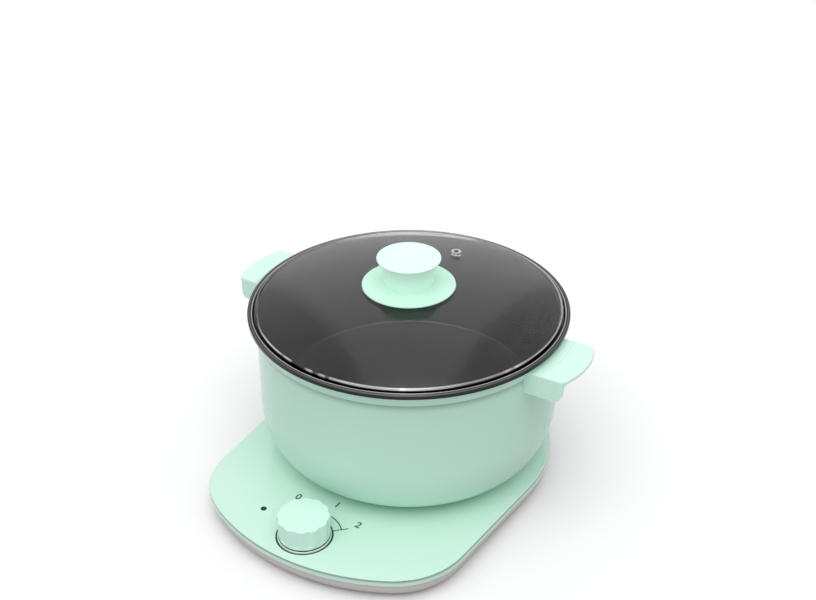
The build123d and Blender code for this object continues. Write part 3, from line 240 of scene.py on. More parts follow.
connectorLook = dict(colour=(0.05, 0.056, 0.053), cloud=0.1, cloudScale=60.0, roughness=0.2,
                     roughnessSpread=0.06, pebbleScale=1200.0, pebble=0.03,
                     shader={"IOR": 1.5, "Specular IOR Level": 0.1}, centre=axisPoint,
                     tops=((0.0, 0.2), (8.9, 0.2), (9.1, 0.001), (20.0, 0.001)), topFrom=(-0.35, 0.1))
innerLook = dict(colour=(0.03, 0.03, 0.033), cloud=0.15, cloudScale=50.0, roughness=0.5,
                 roughnessSpread=0.1, pebbleScale=900.0, pebble=0.3, shader={"IOR": 1.5})
# Near-black sheet for the rings of painted shade round the dial's knob and the trim ring.
shadeRingLook = dict(colour=(0.03, 0.055, 0.045), cloud=0.1, cloudScale=80.0, roughness=0.6,
                roughnessSpread=0.1, pebbleScale=900.0, pebble=0.1, shader={"IOR": 1.45})
printLook = dict(colour=(0.035, 0.075, 0.06), cloud=0.1, cloudScale=90.0, roughness=0.5,
                 roughnessSpread=0.1, pebbleScale=1500.0, pebble=0.05, shader={"IOR": 1.45})
boardLook = dict(colour=(0.02, 0.12, 0.05), cloud=0.2, cloudScale=120.0, roughness=0.35,
                 roughnessSpread=0.1, pebbleScale=600.0, pebble=0.2, shader={"IOR": 1.5})
lensLook = dict(colour=(0.012, 0.03, 0.022), cloud=0.1, cloudScale=80.0, roughness=0.12,
                roughnessSpread=0.04, pebbleScale=900.0, pebble=0.02,
                shader={"IOR": 1.5, "Specular IOR Level": 0.3})
# The tones on the rim's top faces are painted highlights and painted shade along its beads and grooves.
coatingLook = dict(colour=(0.011, 0.011, 0.011), cloud=0.1, cloudScale=40.0, roughness=0.17,
                   roughnessSpread=0.02, pebbleScale=1600.0, pebble=0.008, shader={"IOR": 1.5},
                   centre=axisPoint, topFrom=(-3.6, 0.3), metal=0.95,
                   tops=((119.0, 0.02), (120.8, 0.03), (121.3, 0.45), (121.8, 0.4), (122.2, 0.08),
                         (123.8, 0.2), (124.8, 0.02), (125.7, 0.03), (126.1, 0.62), (127.0, 0.62),
                         (127.4, 0.06), (128.1, 0.06), (128.5, 0.3), (128.9, 0.14), (129.6, 0.14),
                         (129.95, 0.03), (131.0, 0.03)))
# Streaks of painted reflection are (angle, tone); behind is the tone at the back, where the turn starts
# and ends.
bandLook = dict(centre=axisPoint, roughness=0.08, shader={"Metallic": 1.0}, cast=(1.0, 1.0, 1.01),
                behind=0.5,
                streaks=((-134, 0.08), (-121, 0.8), (-109.8, 0.75), (-109.3, 0.1), (-108.6, 0.1),
                         (-108, 0.75), (-103.3, 0.7), (-102.7, 0.06), (-96, 0.1), (-95.4, 0.85),
                         (-94.3, 0.85), (-93.8, 0.12), (-91.3, 0.12), (-90.8, 0.62), (-88.4, 0.62),
                         (-87.8, 0.05), (-86.4, 0.05), (-85.8, 0.58), (-71, 0.50), (-61.8, 0.62),
                         (-60.4, 1.0), (-59, 0.7), (-37, 0.42), (-24.5, 0.42), (-21.6, 0.95),
                         (-20.2, 0.1), (-19, 0.95), (-12, 0.5), (70, 0.8)))
screwLook = dict(colour=(0.55, 0.55, 0.56), centre=axisPoint, ringScale=3000.0, roughness=0.32,
                 roughnessSpread=0.15, rings=0.1, shader={"Metallic": 1.0})
eyeletLook = dict(screwLook, colour=(0.85, 0.85, 0.86), roughness=0.2, roughnessSpread=0.1, rings=0.05)
brassLook = dict(screwLook, colour=(0.75, 0.52, 0.22), roughness=0.28)
heaterLook = dict(screwLook, colour=(0.62, 0.62, 0.63), ringScale=900.0, roughness=0.38,
                  roughnessSpread=0.2, rings=0.2)
sheathLook = dict(heaterLook, colour=(0.30, 0.29, 0.28), roughness=0.45)
glassLook = dict(colour=(0.945, 0.95, 0.948),
                 shader={"Roughness": 0.0, "IOR": 1.4, "Transmission Weight": 1.0})


def newMaterial(name, look):
    material = bpy.data.materials.new(name)
    material.use_nodes = True
    surface = material.node_tree.nodes["Principled BSDF"].inputs
    for socket, value in look["shader"].items():
        surface[socket].default_value = value
    if "colour" in look:
        surface["Base Color"].default_value = look["colour"] + (1,)
    return material, material.node_tree, surface


def placeGroup(tree, group, look):
    # Each socket of the group takes the look's value of the same name.
    node = tree.nodes.new("ShaderNodeGroup")
    node.node_tree = group
    for socket in node.inputs:
        value = look[socket.name[0].lower() + socket.name[1:]]
        socket.default_value = value + (1,) if socket.name == "Colour" else value
    return node.outputs


def addBump(tree, surface, height, strength, depth):
    bump = tree.nodes.new("ShaderNodeBump")
    for socket, value in (("Strength", strength), ("Distance", depth), ("Height", height)):
        feed(tree, value, bump.inputs[socket])
    feed(tree, bump.outputs["Normal"], surface["Normal"])


def softEdge(tree, height, level, edge, start, end, smooth=False):
    # Goes from start to end across the edge, which stands at level + height.
    rise, soft = edge
    return ranged(tree, height, level + (rise - soft) * mm, level + (rise + soft) * mm, start, end, smooth)


def plasticShader(name, look):
    material, tree, surface = newMaterial(name, look)
    skin = placeGroup(tree, skinGroup, look)
    feed(tree, skin["Colour"], surface["Base Color"])
    feed(tree, skin["Roughness"], surface["Roughness"])
    addBump(tree, surface, skin["Height"], look["pebble"], pebbleBump)
    return material, tree, surface, skin


def plasticMaterial(name, look):
    return plasticShader(name, look)[0]


def turnedMaterial(name, look):
    material, tree, surface = newMaterial(name, look)
    rings = placeGroup(tree, turnedGroup, look)
    feed(tree, rings["Roughness"], surface["Roughness"])
    addBump(tree, surface, rings["Height"], look["rings"], ringBump)
    return material


def paintedShadeMaterial(name, look, level):
    # Painted shade: a darker band goes round the piece between two heights.
    material, tree, surface, skin = plasticShader(name, look)
    height = fromPoint(tree, (0, 0, 0))[2]
    above = softEdge(tree, height, level, look["seamLow"], 0.0, 1.0, smooth=True)
    below = softEdge(tree, height, level, look["seamHigh"], 1.0, 0.0, smooth=True)
    paintedShade = worked(tree, "MULTIPLY", above, below)
    feed(tree, blended(tree, paintedShade, skin["Colour"], look["seamColour"] + (1,)), surface["Base Color"])
    return material


def ringedMaterial(name, look, level):
    # Plastic or coating whose top faces, found by their height, change tone by their distance
    # from the axis. On the pan's rim the tones are painted highlights and painted shade; on the
    # connector's top they give a grey centre and a near-black ring.
    material, tree, surface, skin = plasticShader(name, look)
    x, y, height = fromPoint(tree, look["centre"])
    if "metal" in look:
        metal = softEdge(tree, height, level, look["topFrom"], 0.0, look["metal"])
        feed(tree, metal, surface["Metallic"])
    low, high = look["tops"][0][0], look["tops"][-1][0]
    stops = [((radius - low) / (high - low), (tone,) * 3) for radius, tone in look["tops"]]
    tones = toneRamp(tree, ranged(tree, axisRadius(tree, x, y), low * mm, high * mm), stops)
    onTop = softEdge(tree, height, level, look["topFrom"], 0.0, 1.0)
    feed(tree, blended(tree, onTop, skin["Colour"], tones), surface["Base Color"])
    return material


def bandMaterial(name, look):
    # Polished strip: upright dark and light streaks of painted reflection stand at set angles round the
    # axis.
    material, tree, surface = newMaterial(name, look)
    x, y = fromPoint(tree, look["centre"])[:2]
    share = ranged(tree, worked(tree, "ARCTAN2", y, x), -math.pi, math.pi)
    behind = (look["behind"],) * 3
    streaks = [((degrees + 180) / 360, [tone * part for part in look["cast"]])
               for degrees, tone in look["streaks"]]
    feed(tree, toneRamp(tree, share, [(0.0, behind), *streaks, (1.0, behind)]), surface["Base Color"])
    surface["Roughness"].default_value = look["roughness"]
    return material


finishes = {
    "mint_plastic": plasticMaterial("mintPlastic", mintLook),
    "grip_plastic": plasticMaterial("gripPlastic", gripLook),
    "lid_plastic": plasticMaterial("lidPlastic", lidPlasticLook),
    "tray_plastic": plasticMaterial("trayPlastic", trayLook),
    "foot_rubber": plasticMaterial("footRubber", rubberLook),
    "screw_steel": turnedMaterial("screwSteel", screwLook),
    "connector_plastic": plasticMaterial("connectorPlastic", connectorLook),
    "contact_brass": turnedMaterial("contactBrass", brassLook),
    "nonstick_coating": ringedMaterial("nonstickCoating", coatingLook, rimTop),
    "heater_aluminium": turnedMaterial("heaterAluminium", heaterLook),
    "heater_steel": turnedMaterial("heaterSteel", sheathLook),
    "seal_silicone": plasticMaterial("sealSilicone", siliconeLook),
    "band_steel": bandMaterial("bandSteel", bandLook),
    "board_laminate": plasticMaterial("boardLaminate", boardLook),
    "lens_plastic": plasticMaterial("lensPlastic", lensLook),
    "inner_plastic": plasticMaterial("innerPlastic", innerLook),
    "lid_glass": newMaterial("lidGlass", glassLook)[0],
}
housingPlastic = paintedShadeMaterial("housingPlastic", housingLook, rimTop)
discPlastic = plasticMaterial("discPlastic", lidDiscLook)
trimPlastic = plasticMaterial("trimPlastic", trimLook)
seamPlastic = plasticMaterial("seamPlastic", shadeRingLook)
dialPrint = plasticMaterial("dialPrint", printLook)
ownFinishes = {
    "base_top_cover": paintedShadeMaterial("coverPlastic", coverLook, baseTop),
    "trim_ring": trimPlastic,
    "connector_tower": ringedMaterial("towerPlastic", connectorLook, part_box("connector_tower")[1][2]),
    "vent_eyelet": turnedMaterial("eyeletSteel", eyeletLook),
}

slotOf = {part["node"]: part["material_slot"] for part in frame["record"]["subparts"]}
for name, node in nodes.items():
    node.data.materials.clear()
    node.data.materials.append(ownFinishes.get(name, finishes[slotOf[name]]))
print("materials ready")


# Turned and printed pieces. Every length in their settings is in millimetres.
sharpFrom = 40.0  # degrees between two faces
onAxis = 1e-6     # a smaller radius counts as a point of the axis


def easedLine(corners, steps=7):
    # Corners are (radius, height, ease); an eased corner becomes a quadratic curve that starts and
    # ends this far along the two sides that meet there.
    spots = np.array([corner[:2] for corner in corners], float)
    runs = []
    for index, corner in enumerate(corners):
        here, ease = spots[index], corner[2]
        if ease == 0:
            runs.append(here[None])
            continue
        before = spots[index - 1] - here
        after = spots[(index + 1) % len(corners)] - here
        start = here + before / np.hypot(*before) * ease
        end = here + after / np.hypot(*after) * ease
        t = np.linspace(0, 1, steps)[:, None]
        runs.append((1 - t) ** 2 * start + 2 * t * (1 - t) * here + t ** 2 * end)
    return np.concatenate(runs)


def cubicLine(start, pull, push, end, steps=30):
    # Cubic curve through start and end, pulled towards the two points between them.
    t = np.linspace(0, 1, steps)[:, None]
    start, pull, push, end = (np.array(point, float) for point in (start, pull, push, end))
    return (1 - t) ** 3 * start + 3 * t * (1 - t) ** 2 * pull + 3 * t ** 2 * (1 - t) * push + t ** 3 * end


def finishMesh(name, points, faces, material):
    mesh = bpy.data.meshes.new(name)
    mesh.from_pydata(points.tolist(), [], faces)
    mesh.validate()
    mesh.polygons.foreach_set("use_smooth", np.ones(len(mesh.polygons), bool))
    mesh.set_sharp_from_angle(angle=math.radians(sharpFrom))
    mesh.materials.append(material)
    piece = bpy.data.objects.new(name, mesh)
    bpy.context.scene.collection.objects.link(piece)
    return piece


def turnedPiece(name, line, centre, low, material, spokes, reshape=None):
    # The closed line, in (radius, height), is swept round an upright axis: x = radius * cos(angle),
    # y = radius * sin(angle). Points on the axis become single poles, and reshape may change the
    # radius by angle and height.
    line = np.asarray(line, float)
    radius, height = line[:, 0], line[:, 1]
    nextRadius, nextHeight = np.roll(radius, -1), np.roll(height, -1)
    if np.sum(radius * nextHeight - nextRadius * height) < 0:
        line = line[::-1]
    poles = line[:, 0] < onAxis
    closed = not poles.any()
    if not closed:
        # The line starts at one pole and stops at the other.
        first = np.flatnonzero(poles & ~np.roll(poles, -1))[0]
        line = np.roll(line, -first, axis=0)
        last = np.flatnonzero(line[:, 0] < onAxis)
        line = line[:last[last > 0][0] + 1] if (last > 0).any() else line
    rings = line[line[:, 0] > onAxis]
    angle = np.arange(spokes) * 2 * np.pi / spokes
    reach = np.repeat(rings[:, :1], spokes, axis=1)
    level = np.repeat(rings[:, 1:], spokes, axis=1)
    if reshape is not None:
        reach, level = reshape(reach, level, angle[None, :])
    points = np.stack([centre[0] + reach * np.cos(angle) * mm, centre[1] + reach * np.sin(angle) * mm,
                       low + level * mm], axis=-1).reshape(-1, 3)
    count = len(rings)
    row = np.arange(count if closed else count - 1)[:, None] * spokes
    nextRow = (row + spokes) % (count * spokes)
    column = np.arange(spokes)[None, :]
    nextColumn = (column + 1) % spokes
    quads = np.stack([row + column, row + nextColumn, nextRow + nextColumn, nextRow + column], axis=-1)
    faces = quads.reshape(-1, 4).tolist()
    if not closed:
        base = len(points)
        points = np.concatenate([points, [[centre[0], centre[1], low + line[0, 1] * mm],
                                          [centre[0], centre[1], low + line[-1, 1] * mm]]])
        around, following = column[0], nextColumn[0]
        top = (count - 1) * spokes
        faces += np.stack([np.full(spokes, base), following, around], axis=-1).tolist()
        faces += np.stack([np.full(spokes, base + 1), top + around, top + following], axis=-1).tolist()
    return finishMesh(name, points, faces, material)


# The pot's housing: flat underside, full lower curve, straight wall and a turned-out collar. Level 0
# is its underside, and drops are measured down from its height.
housing = dict(flat=85.6, shoulder=123.4, shoulderDrop=76.9, wall=123.0, height=128.1, fullness=0.65,
               collarLow=125.9, collarTop=128.6, collarDrop=3.4, collarLowDrop=11.8,
               collarEases=(0.4, 0.6, 0.5, 0.3), sheet=2.2, lip=126.8, seatDrop=5.5,
               innerFlat=92.0, hole=73.0, floor=5.0, rebate=80.3, rebateDepth=2.5, spokes=256)


def makeHousing():
    h = housing
    drops = ("shoulderDrop", "collarLowDrop", "collarDrop", "seatDrop")
    rise, low, top, seat = (h["height"] - h[drop] for drop in drops)
    run = h["shoulder"] - h["flat"]
    inner = h["wall"] - h["sheet"]
    innerRun = inner - h["innerFlat"]
    innerRise = rise - h["floor"]
    outside = cubicLine((h["flat"], 0), (h["flat"] + h["fullness"] * run, 0),
                        (h["shoulder"], rise * (1 - h["fullness"])), (h["shoulder"], rise), steps=40)
    root, foot, brim, edge = h["collarEases"]
    collar = easedLine([(h["wall"], low, root), (h["collarLow"], low, foot), (h["collarTop"], top, brim),
                        (h["lip"], top, edge), (h["lip"], seat, 0), (inner, seat, edge), (inner, rise, 0)])
    inside = cubicLine((inner, rise), (inner, rise - h["fullness"] * innerRise),
                       (h["innerFlat"] + h["fullness"] * innerRun, h["floor"]),
                       (h["innerFlat"], h["floor"]))
    floor = [(h["hole"], h["floor"]), (h["hole"], h["rebateDepth"]), (h["rebate"], h["rebateDepth"]),
             (h["rebate"], 0)]
    line = np.concatenate([outside, collar[:-1], inside[1:], floor])
    piece = turnedPiece("potShell", line, (axisX, axisY), rimTop - h["height"] * mm, housingPlastic,
                        h["spokes"])
    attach(piece, "pot")
    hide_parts("outer_housing")


# The coated pan: level 0 is the top of its rim, and its corners are (radius, height, ease). The wall
# leans in towards the floor and meets it in a tight round. At its top stand a bead, the ledge of the
# lid, and the rim with its own bead and groove; a hem turns down outside.
pan = dict(foot=(105.6, -82.2), footEase=1.6, floorEdge=101.6, floorJoin=102.6, sheet=1.5,
           outerEase=2.0, ringWidth=1.6, ringDepth=0.25, rings=(44.0, 88.0), floorSteps=180,
           wallTop=(120.7, -4.2, 0.8),
           innerBead=((120.9, -2.5, 0.35), (121.5, -1.9, 0.4), (121.9, -2.1, 0.3)),
           ledge=((122.1, -3.0, 0.25), (125.0, -3.0, 0.25), (125.1, -0.6, 0.3)),
           rim=((126.6, 0.15, 0.4), (127.6, -0.25, 0.3), (128.6, 0.1, 0.3), (129.0, -0.05, 0.3),
                (130.0, 0, 0.9)),
           hem=((130.0, -3.2, 0.3), (129.0, -3.2, 0.3), (129.0, -1.5, 0)),
           back=((127.2, -1.5, 0), (127.0, -4.5, 0.3), (121.7, -4.5, 0.2)), spokes=256)


def panFloorLine(p):
    # The floor falls by a shallow groove at each ring: depth * exp(-(distance / width)^2).
    radius = np.linspace(0, p["floorEdge"], p["floorSteps"])
    groove = sum(np.exp(-((radius - ring) / p["ringWidth"]) ** 2) for ring in p["rings"])
    return np.stack([radius, p["foot"][1] - p["ringDepth"] * groove], axis=1)


def makePan():
    p = pan
    under = p["foot"][1] - p["sheet"]
    rim = easedLine([(p["floorJoin"], p["foot"][1], 0), (*p["foot"], p["footEase"]), p["wallTop"],
                     *p["innerBead"], *p["ledge"], *p["rim"], *p["hem"], *p["back"],
                     (p["foot"][0] + p["sheet"], under, p["outerEase"]), (p["floorJoin"], under, 0)])
    line = np.concatenate([panFloorLine(p), rim, [(0, under)]])
    piece = turnedPiece("coatedPan", line, (axisX, axisY), rimTop, finishes["nonstick_coating"],
                        p["spokes"])
    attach(piece, "pot")
    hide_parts("inner_pot")


# The lid: level 0 is the seat on the pan's ledge.
lid = dict(band=124.1, bandHeight=5.4, sheet=0.5, lip=1.2, foot=2.0, bandEases=(0.1, 0.7, 0.4),
           glass=3.5, dome=438.0, hole=3.0, gap=0.05, underEdge=0.6, glassEases=(0.3, 0.5, 0.4),
           spokes=256)
lidLevel = lidBottom - lid["sheet"] * mm
lidEdge = lid["band"] - lid["lip"]
lidFoot = lid["band"] - lid["foot"]


def domeHeight(radius, offset=0.0):
    # A sphere through the edge of the glass: height = centre + sqrt(dome^2 - radius^2).
    centre = lid["bandHeight"] - lid["sheet"] - math.sqrt(lid["dome"] ** 2 - lidEdge ** 2)
    return centre + np.sqrt((lid["dome"] + offset) ** 2 - np.asarray(radius, float) ** 2)


def domeLine(start, end, offset, steps):
    radius = np.linspace(start, end, steps)
    return np.stack([radius, domeHeight(radius, offset)], axis=1)


def makeGlass():
    wall = lid["band"] - lid["sheet"] - lid["gap"]
    top = lid["bandHeight"] - lid["sheet"] - lid["gap"]
    low = lid["sheet"] + lid["gap"]
    outside = domeLine(lid["hole"], lidEdge, 0.0, steps=90)
    inside = domeLine(lidFoot - lid["underEdge"], lid["hole"], -lid["glass"], steps=90)
    upper, lower, foot = lid["glassEases"]
    rim = easedLine([(lidEdge, top + lid["gap"], 0), (wall, top, upper), (wall, low, lower),
                     (lidFoot, low, foot), (*inside[0], 0)], steps=5)
    piece = turnedPiece("domedGlass", np.concatenate([outside, rim[1:-1], inside]), (axisX, axisY),
                        lidLevel, finishes["lid_glass"], lid["spokes"])
    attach(piece, "lid")
    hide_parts("glass_lid")


def makeBand():
    outer, sheet, top = lid["band"], lid["sheet"], lid["bandHeight"]
    cut, bend, fold = lid["bandEases"]
    line = easedLine([(lidFoot, 0, cut), (outer, 0, bend), (outer, top, bend), (lidEdge, top, cut),
                      (lidEdge, top - sheet, cut), (outer - sheet, top - sheet, fold),
                      (outer - sheet, sheet, fold), (lidFoot, sheet, cut)], steps=6)
    piece = turnedPiece("lidBand", line, (axisX, axisY), lidLevel, finishes["band_steel"], lid["spokes"])
    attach(piece, "lid")
    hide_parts("lid_band")


# Saucer and knob of the lid, both on the dome.
lidKnob = dict(disc=37.8, discThick=1.3, discGap=0.2, discEdge=0.6, discInset=1.0,
               discEases=(0.7, 0.25), height=22.1, stemFoot=19.7, sink=0.1, swell=(0.7, 8.4),
               neck=(4.2, 6.8), lip=25.7, lipHeight=0.9, lipFlare=0.05, dish=18.9, dishBevel=0.5,
               dishDepth=0.6, wall=2.4, crownEases=(0.75, 0.35, 0.4, 1.0), spokes=160)


def makeLidDisc():
    k = lidKnob
    edge, thick, gap = k["disc"], k["discThick"], k["discGap"]
    upper, lower = k["discEases"]
    over = domeLine(lid["hole"], edge - k["discEdge"], thick, steps=30)
    under = domeLine(edge - k["discInset"], lid["hole"], gap, steps=30)
    side = easedLine([(*over[-1], 0), (edge, domeHeight(edge, thick), upper),
                      (edge, domeHeight(edge, gap), lower), (*under[0], 0)])
    piece = turnedPiece("knobSaucer", np.concatenate([over, side[1:-1], under]), (axisX, axisY),
                        lidLevel, discPlastic, k["spokes"])
    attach(piece, "lid")
    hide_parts("lid_knob_disc")


def makeLidKnob():
    k = lidKnob
    foot = domeHeight(k["stemFoot"], k["discThick"]) - k["sink"]
    top = domeHeight(0) + k["discThick"] + k["height"]
    lip = top - k["lipHeight"]
    dish = top - k["dishDepth"]
    roof = dish - k["wall"]
    inner = k["stemFoot"] - k["wall"]
    stem = cubicLine((k["stemFoot"], foot), (k["stemFoot"] + k["swell"][0], foot + k["swell"][1]),
                     (k["lip"] - k["neck"][0], lip - k["neck"][1]), (k["lip"], lip))
    brim, bevel, corner, hollow = k["crownEases"]
    crown = easedLine([(k["lip"], lip, 0), (k["lip"] + k["lipFlare"], top, brim),
                       (k["dish"] + k["dishBevel"], top, bevel), (k["dish"], dish, corner),
                       (0, dish, 0), (0, roof, 0), (inner, roof, hollow), (inner, foot, 0)])
    piece = turnedPiece("lidGrip", np.concatenate([stem, crown[1:]]), (axisX, axisY), lidLevel,
                        finishes["lid_plastic"], k["spokes"])
    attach(piece, "lid")
    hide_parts("lid_knob")


# The dial's knob: soft scallops that fade out above a plain skirt.
dialKnob = dict(top=20.8, skirt=20.1, skirtStep=0.6, height=20.7, gap=1.9, edge=1.2, edgeLift=0.02,
                crown=0.6, crownEdge=2.4, lobes=12, lobeDepth=1.3, lobeReach=4.0, fade=(2.2, 5.0),
                pinch=0.75, wall=2.5, bore=3.05, boreDrop=0.5, hub=5.5, hubLow=7.5,
                footEases=(0.2, 0.35), crownSteps=30, sideSteps=24, spokes=288)


def scalloped(reach, level, angle):
    # Radius shrinks by depth * (1 - |cos(lobes * angle / 2)|) ** pinch, only on the outer side, and
    # fades in above the skirt by rise^2 * (3 - 2 * rise).
    d = dialKnob
    wave = (1 - np.abs(np.cos(d["lobes"] * angle / 2))) ** d["pinch"]
    rise = np.clip((level - d["fade"][0]) / (d["fade"][1] - d["fade"][0]), 0, 1)
    outside = np.clip((reach - (d["top"] - d["lobeReach"])) / d["lobeReach"], 0, 1)
    return reach - d["lobeDepth"] * wave * rise * rise * (3 - 2 * rise) * outside, level


def makeDialKnob():
    d = dialKnob
    gap = d["gap"]
    top = d["height"] - d["crown"]
    roof = top - d["wall"]
    inner = d["top"] - d["wall"] - d["lobeDepth"]
    crownRadius = np.linspace(d["top"] - d["crownEdge"], 0, d["crownSteps"])
    crown = np.stack([crownRadius, top + d["crown"] * (1 - (crownRadius / d["top"]) ** 2)], axis=1)
    sideHeight = np.linspace(gap + d["skirtStep"], top - d["edge"], d["sideSteps"])
    slope = (sideHeight - gap) / (top - gap)
    side = np.stack([d["skirt"] + (d["top"] - d["skirt"]) * slope, sideHeight], axis=1)
    mouth, heel = d["footEases"]
    foot = easedLine([(inner, gap, mouth), (d["skirt"], gap, heel), (d["skirt"], gap + d["skirtStep"], 0)],
                     steps=5)
    edge = easedLine([(*side[-1], 0), (d["top"], top + d["edgeLift"], d["edge"]), (*crown[0], 0)], steps=8)
    hub = [(0, roof - d["boreDrop"]), (d["bore"], roof - d["boreDrop"]), (d["bore"], d["hubLow"]),
           (d["hub"], d["hubLow"]), (d["hub"], roof), (inner, roof)]
    line = np.concatenate([foot[:-1], side, edge[1:-1], crown, hub])
    piece = turnedPiece("dialKnob", line, (knobX, knobY), baseTop, finishes["grip_plastic"], d["spokes"],
                        scalloped)
    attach(piece, "knob")
    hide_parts("control_knob")


# The seat that the dial's knob turns on, sunk in the cover.
knobSeat = dict(inner=10.0, outer=21.0, low=-1.0, high=1.0, ease=0.3, spokes=160)


def makeKnobSeat():
    k = knobSeat
    line = easedLine([(k["inner"], k["low"], 0), (k["outer"], k["low"], 0),
                      (k["outer"], k["high"], k["ease"]), (k["inner"], k["high"], k["ease"])], steps=5)
    piece = turnedPiece("knobSeat", line, (knobX, knobY), baseTop, trimPlastic, k["spokes"])
    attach(piece, "base")
    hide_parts("knob_bezel")


# Rings of painted shade round the knob, in the gap beside its seat and under its skirt, as
# (inner, outer, low, top), and a ring of painted shadow round the trim ring, as (inside, outside)
# its edge; and the printed dial: an arc, its end line and plain numbers, as (figure, angle, radius).
dialMarks = dict(seams=((21.0, 22.45, -0.9, -0.1), (18.6, 20.3, 1.0, 1.06)), trimSeam=(0.2, 0.3),
                 arc=(28.4, 29.35), arcFrom=44.0, arcTo=80.0, arcSteps=24, line=(22.2, 34.3),
                 lineAngle=44.0, lineWidth=0.85, thick=0.06,
                 numbers=(("0", 132.0, 46.0), ("1", 88.0, 42.5), ("2", 47.0, 42.5)),
                 numberHeight=6.4, figureShare=0.7, numberSpread=0.16, spokes=160)


def flatRing(name, inner, outer, low, top, centre=(knobX, knobY)):
    line = [(inner, low), (outer, low), (outer, top), (inner, top)]
    piece = turnedPiece(name, line, centre, baseTop, seamPlastic, dialMarks["spokes"])
    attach(piece, "base")


def flatShape(name, outline):
    # A plate on the base's top: the outline, counterclockwise, at two levels joined by side faces.
    count = len(outline)
    low = np.column_stack([outline, np.full(count, baseTop)])
    high = np.column_stack([outline, np.full(count, baseTop + dialMarks["thick"] * mm)])
    here = np.arange(count)
    after = (here + 1) % count
    sides = np.stack([here, after, after + count, here + count], axis=1).tolist()
    faces = [here[::-1].tolist(), (here + count).tolist()] + sides
    piece = finishMesh(name, np.concatenate([low, high]), faces, dialPrint)
    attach(piece, "base")


def aroundKnob(radius, degrees):
    angle = np.radians(degrees)
    return np.stack([knobX + radius * mm * np.cos(angle), knobY + radius * mm * np.sin(angle)], axis=-1)


def makeDialMarks():
    m = dialMarks
    for index, paintedShade in enumerate(m["seams"]):
        flatRing(f"knobSeam{index + 1}", *paintedShade)
    trimLow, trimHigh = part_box("trim_ring")
    trimEdge = (trimHigh[0] - trimLow[0]) / 2 / mm
    flatRing("trimSeam", trimEdge - m["trimSeam"][0], trimEdge + m["trimSeam"][1], 0, m["thick"],
             middle("trim_ring")[:2])
    sweep = np.linspace(m["arcFrom"], m["arcTo"], m["arcSteps"])
    nearSide, farSide = m["arc"]
    flatShape("dialArc", np.concatenate([aroundKnob(farSide, sweep), aroundKnob(nearSide, sweep[::-1])]))
    near, far = m["line"]
    half = m["lineWidth"] / 2
    turn = np.radians(m["lineAngle"])
    along, across = np.array([np.cos(turn), np.sin(turn)]), np.array([-np.sin(turn), np.cos(turn)])
    corners = [(near, -half), (far, -half), (far, half), (near, half)]
    start = np.array([knobX, knobY])
    outline = [start + (reach * along + wide * across) * mm for reach, wide in corners]
    flatShape("dialLine", np.array(outline))


def makeNumber(digit, degrees, radius):
    # The figure is drawn as text, made a mesh and moved to its place on the dial.
    curve = bpy.data.curves.new("numberText", "FONT")
    curve.body = digit
    curve.align_x = "CENTER"
    curve.align_y = "CENTER"
    curve.size = dialMarks["numberHeight"] * mm / dialMarks["figureShare"]
    curve.extrude = dialMarks["thick"] * mm / 2
    curve.offset = dialMarks["numberSpread"] * mm
    source = bpy.data.objects.new("numberText", curve)
    bpy.context.scene.collection.objects.link(source)
    mesh = bpy.data.meshes.new_from_object(source.evaluated_get(bpy.context.evaluated_depsgraph_get()))
    bpy.data.objects.remove(source)
    mesh.name = f"dialNumber{digit}"
    place = np.append(aroundKnob(radius, degrees), baseTop + dialMarks["thick"] * mm / 2)
    points = np.empty(len(mesh.vertices) * 3)
    mesh.vertices.foreach_get("co", points)
    mesh.vertices.foreach_set("co", (points.reshape(-1, 3) + place).ravel())
    mesh.update()
    mesh.materials.clear()
    mesh.materials.append(dialPrint)
    number = bpy.data.objects.new(f"dialNumber{digit}", mesh)
    bpy.context.scene.collection.objects.link(number)
    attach(number, "base")


makeHousing()
makePan()
print("pot ready")
makeGlass()
makeBand()
makeLidDisc()
makeLidKnob()
print("lid ready")
makeDialKnob()
makeKnobSeat()
makeDialMarks()
for digit, degrees, radius in dialMarks["numbers"]:
    makeNumber(digit, degrees, radius)
print("dial ready")


# Floor, light and camera. Floor size is in metres, turns are in degrees.
stageLook = dict(floorSize=9.0, floorColour=(0.93, 0.93, 0.93), bounceColour=(0.5, 0.5, 0.5),
                 horizonStrength=0.28, zenithStrength=1.0, mirrorLow=0.4, mirrorHigh=0.95, mirrorTop=0.8,
                 strips=6.0, stripTurn=-1.75, stripDepth=0.7, stripEdge=(0.1, 0.7),
                 sunStrength=1.2, sunSize=60.0, sunTurn=(25.0, 0.0, 20.0))


def makeFloor():
    half = stageLook["floorSize"]
    mesh = bpy.data.meshes.new("floor")
    mesh.from_pydata([(-half, -half, 0), (half, -half, 0), (half, half, 0), (-half, half, 0)], [],
                     [(0, 1, 2, 3)])
    floor = bpy.data.objects.new("floor", mesh)
    bpy.context.scene.collection.objects.link(floor)
    look = dict(shader={"Roughness": 0.9, "Specular IOR Level": 0.0})
    material, tree, surface = newMaterial("floorPaper", look)
    rays = tree.nodes.new("ShaderNodeLightPath").outputs
    paper = blended(tree, rays["Is Diffuse Ray"], stageLook["floorColour"] + (1,),
                    stageLook["bounceColour"] + (1,))
    feed(tree, paper, surface["Base Color"])
    mesh.materials.append(material)


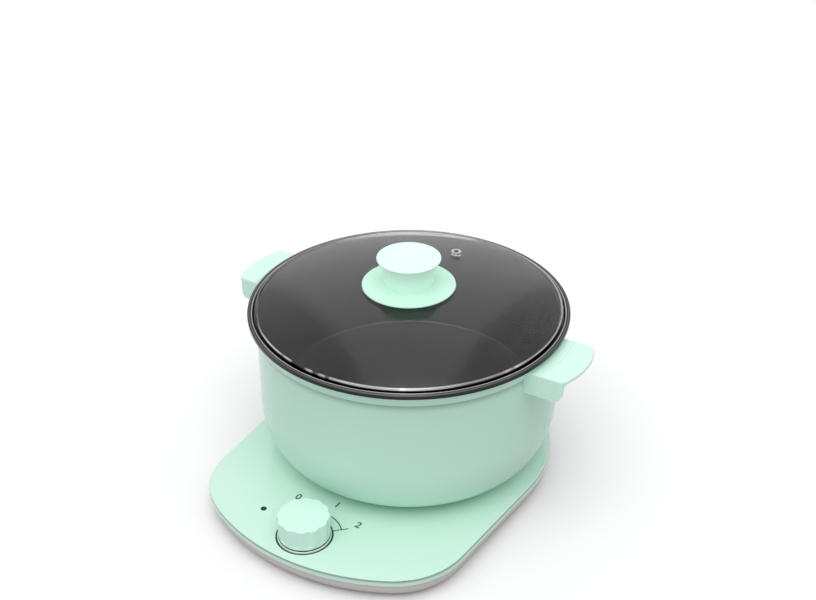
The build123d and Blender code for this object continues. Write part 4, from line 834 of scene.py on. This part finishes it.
def makeWorld():
    # Straight to the camera and through glass the studio is white; mirrors see soft grey strips,
    # and matt surfaces get most of their light from above.
    s = stageLook
    world = bpy.data.worlds.new("studio")
    bpy.context.scene.world = world
    world.use_nodes = True
    tree = world.node_tree
    background = tree.nodes["Background"].inputs
    background["Color"].default_value = (1, 1, 1, 1)
    split = tree.nodes.new("ShaderNodeSeparateXYZ")
    feed(tree, tree.nodes.new("ShaderNodeTexCoord").outputs["Generated"], split.inputs[0])
    x, y, z = split.outputs
    matt = ranged(tree, z, 0.0, 1.0, s["horizonStrength"], s["zenithStrength"], smooth=True)
    turn = worked(tree, "MULTIPLY", worked(tree, "ARCTAN2", y, x), s["strips"])
    wave = worked(tree, "SINE", worked(tree, "ADD", turn, s["stripTurn"]))
    strip = ranged(tree, wave, *s["stripEdge"], 1.0, 1.0 - s["stripDepth"], smooth=True)
    rise = ranged(tree, z, 0.0, s["mirrorTop"], s["mirrorLow"], s["mirrorHigh"], smooth=True)
    mirror = worked(tree, "MULTIPLY", strip, rise)
    rays = tree.nodes.new("ShaderNodeLightPath").outputs
    level = blended(tree, rays["Is Glossy Ray"], matt, mirror, "FLOAT")
    seen = worked(tree, "MAXIMUM", rays["Is Camera Ray"], rays["Is Transmission Ray"])
    feed(tree, blended(tree, seen, level, 1.0, "FLOAT"), background["Strength"])


def makeSun():
    data = bpy.data.lights.new("windowLight", "SUN")
    data.energy = stageLook["sunStrength"]
    data.angle = math.radians(stageLook["sunSize"])
    sun = bpy.data.objects.new("windowLight", data)
    sun.rotation_euler = [math.radians(turn) for turn in stageLook["sunTurn"]]
    bpy.context.scene.collection.objects.link(sun)


# Distances are in metres from the axis and the base's top.
cameraSet = dict(turn=31.7, down=30.66, back=0.8445, up=0.6344, aside=0.0008, sensor=36.0,
                 focalPixels=1217.1, shiftPixels=-1.7, imageWidth=816)


def makeCamera():
    c = cameraSet
    turn = math.radians(c["turn"])
    data = bpy.data.cameras.new("camera")
    data.sensor_width = c["sensor"]
    data.lens = c["sensor"] * c["focalPixels"] / c["imageWidth"]
    data.shift_x = c["shiftPixels"] / c["imageWidth"]
    camera = bpy.data.objects.new("camera", data)
    camera.location = (axisX + c["aside"] + c["back"] * math.sin(turn), axisY - c["back"] * math.cos(turn),
                       baseTop + c["up"])
    camera.rotation_euler = (math.radians(90 - c["down"]), 0, turn)
    bpy.context.scene.collection.objects.link(camera)
    bpy.context.scene.camera = camera


makeFloor()
makeWorld()
makeSun()
makeCamera()
bpy.context.scene.view_settings.view_transform = "Standard"
print("stage ready")
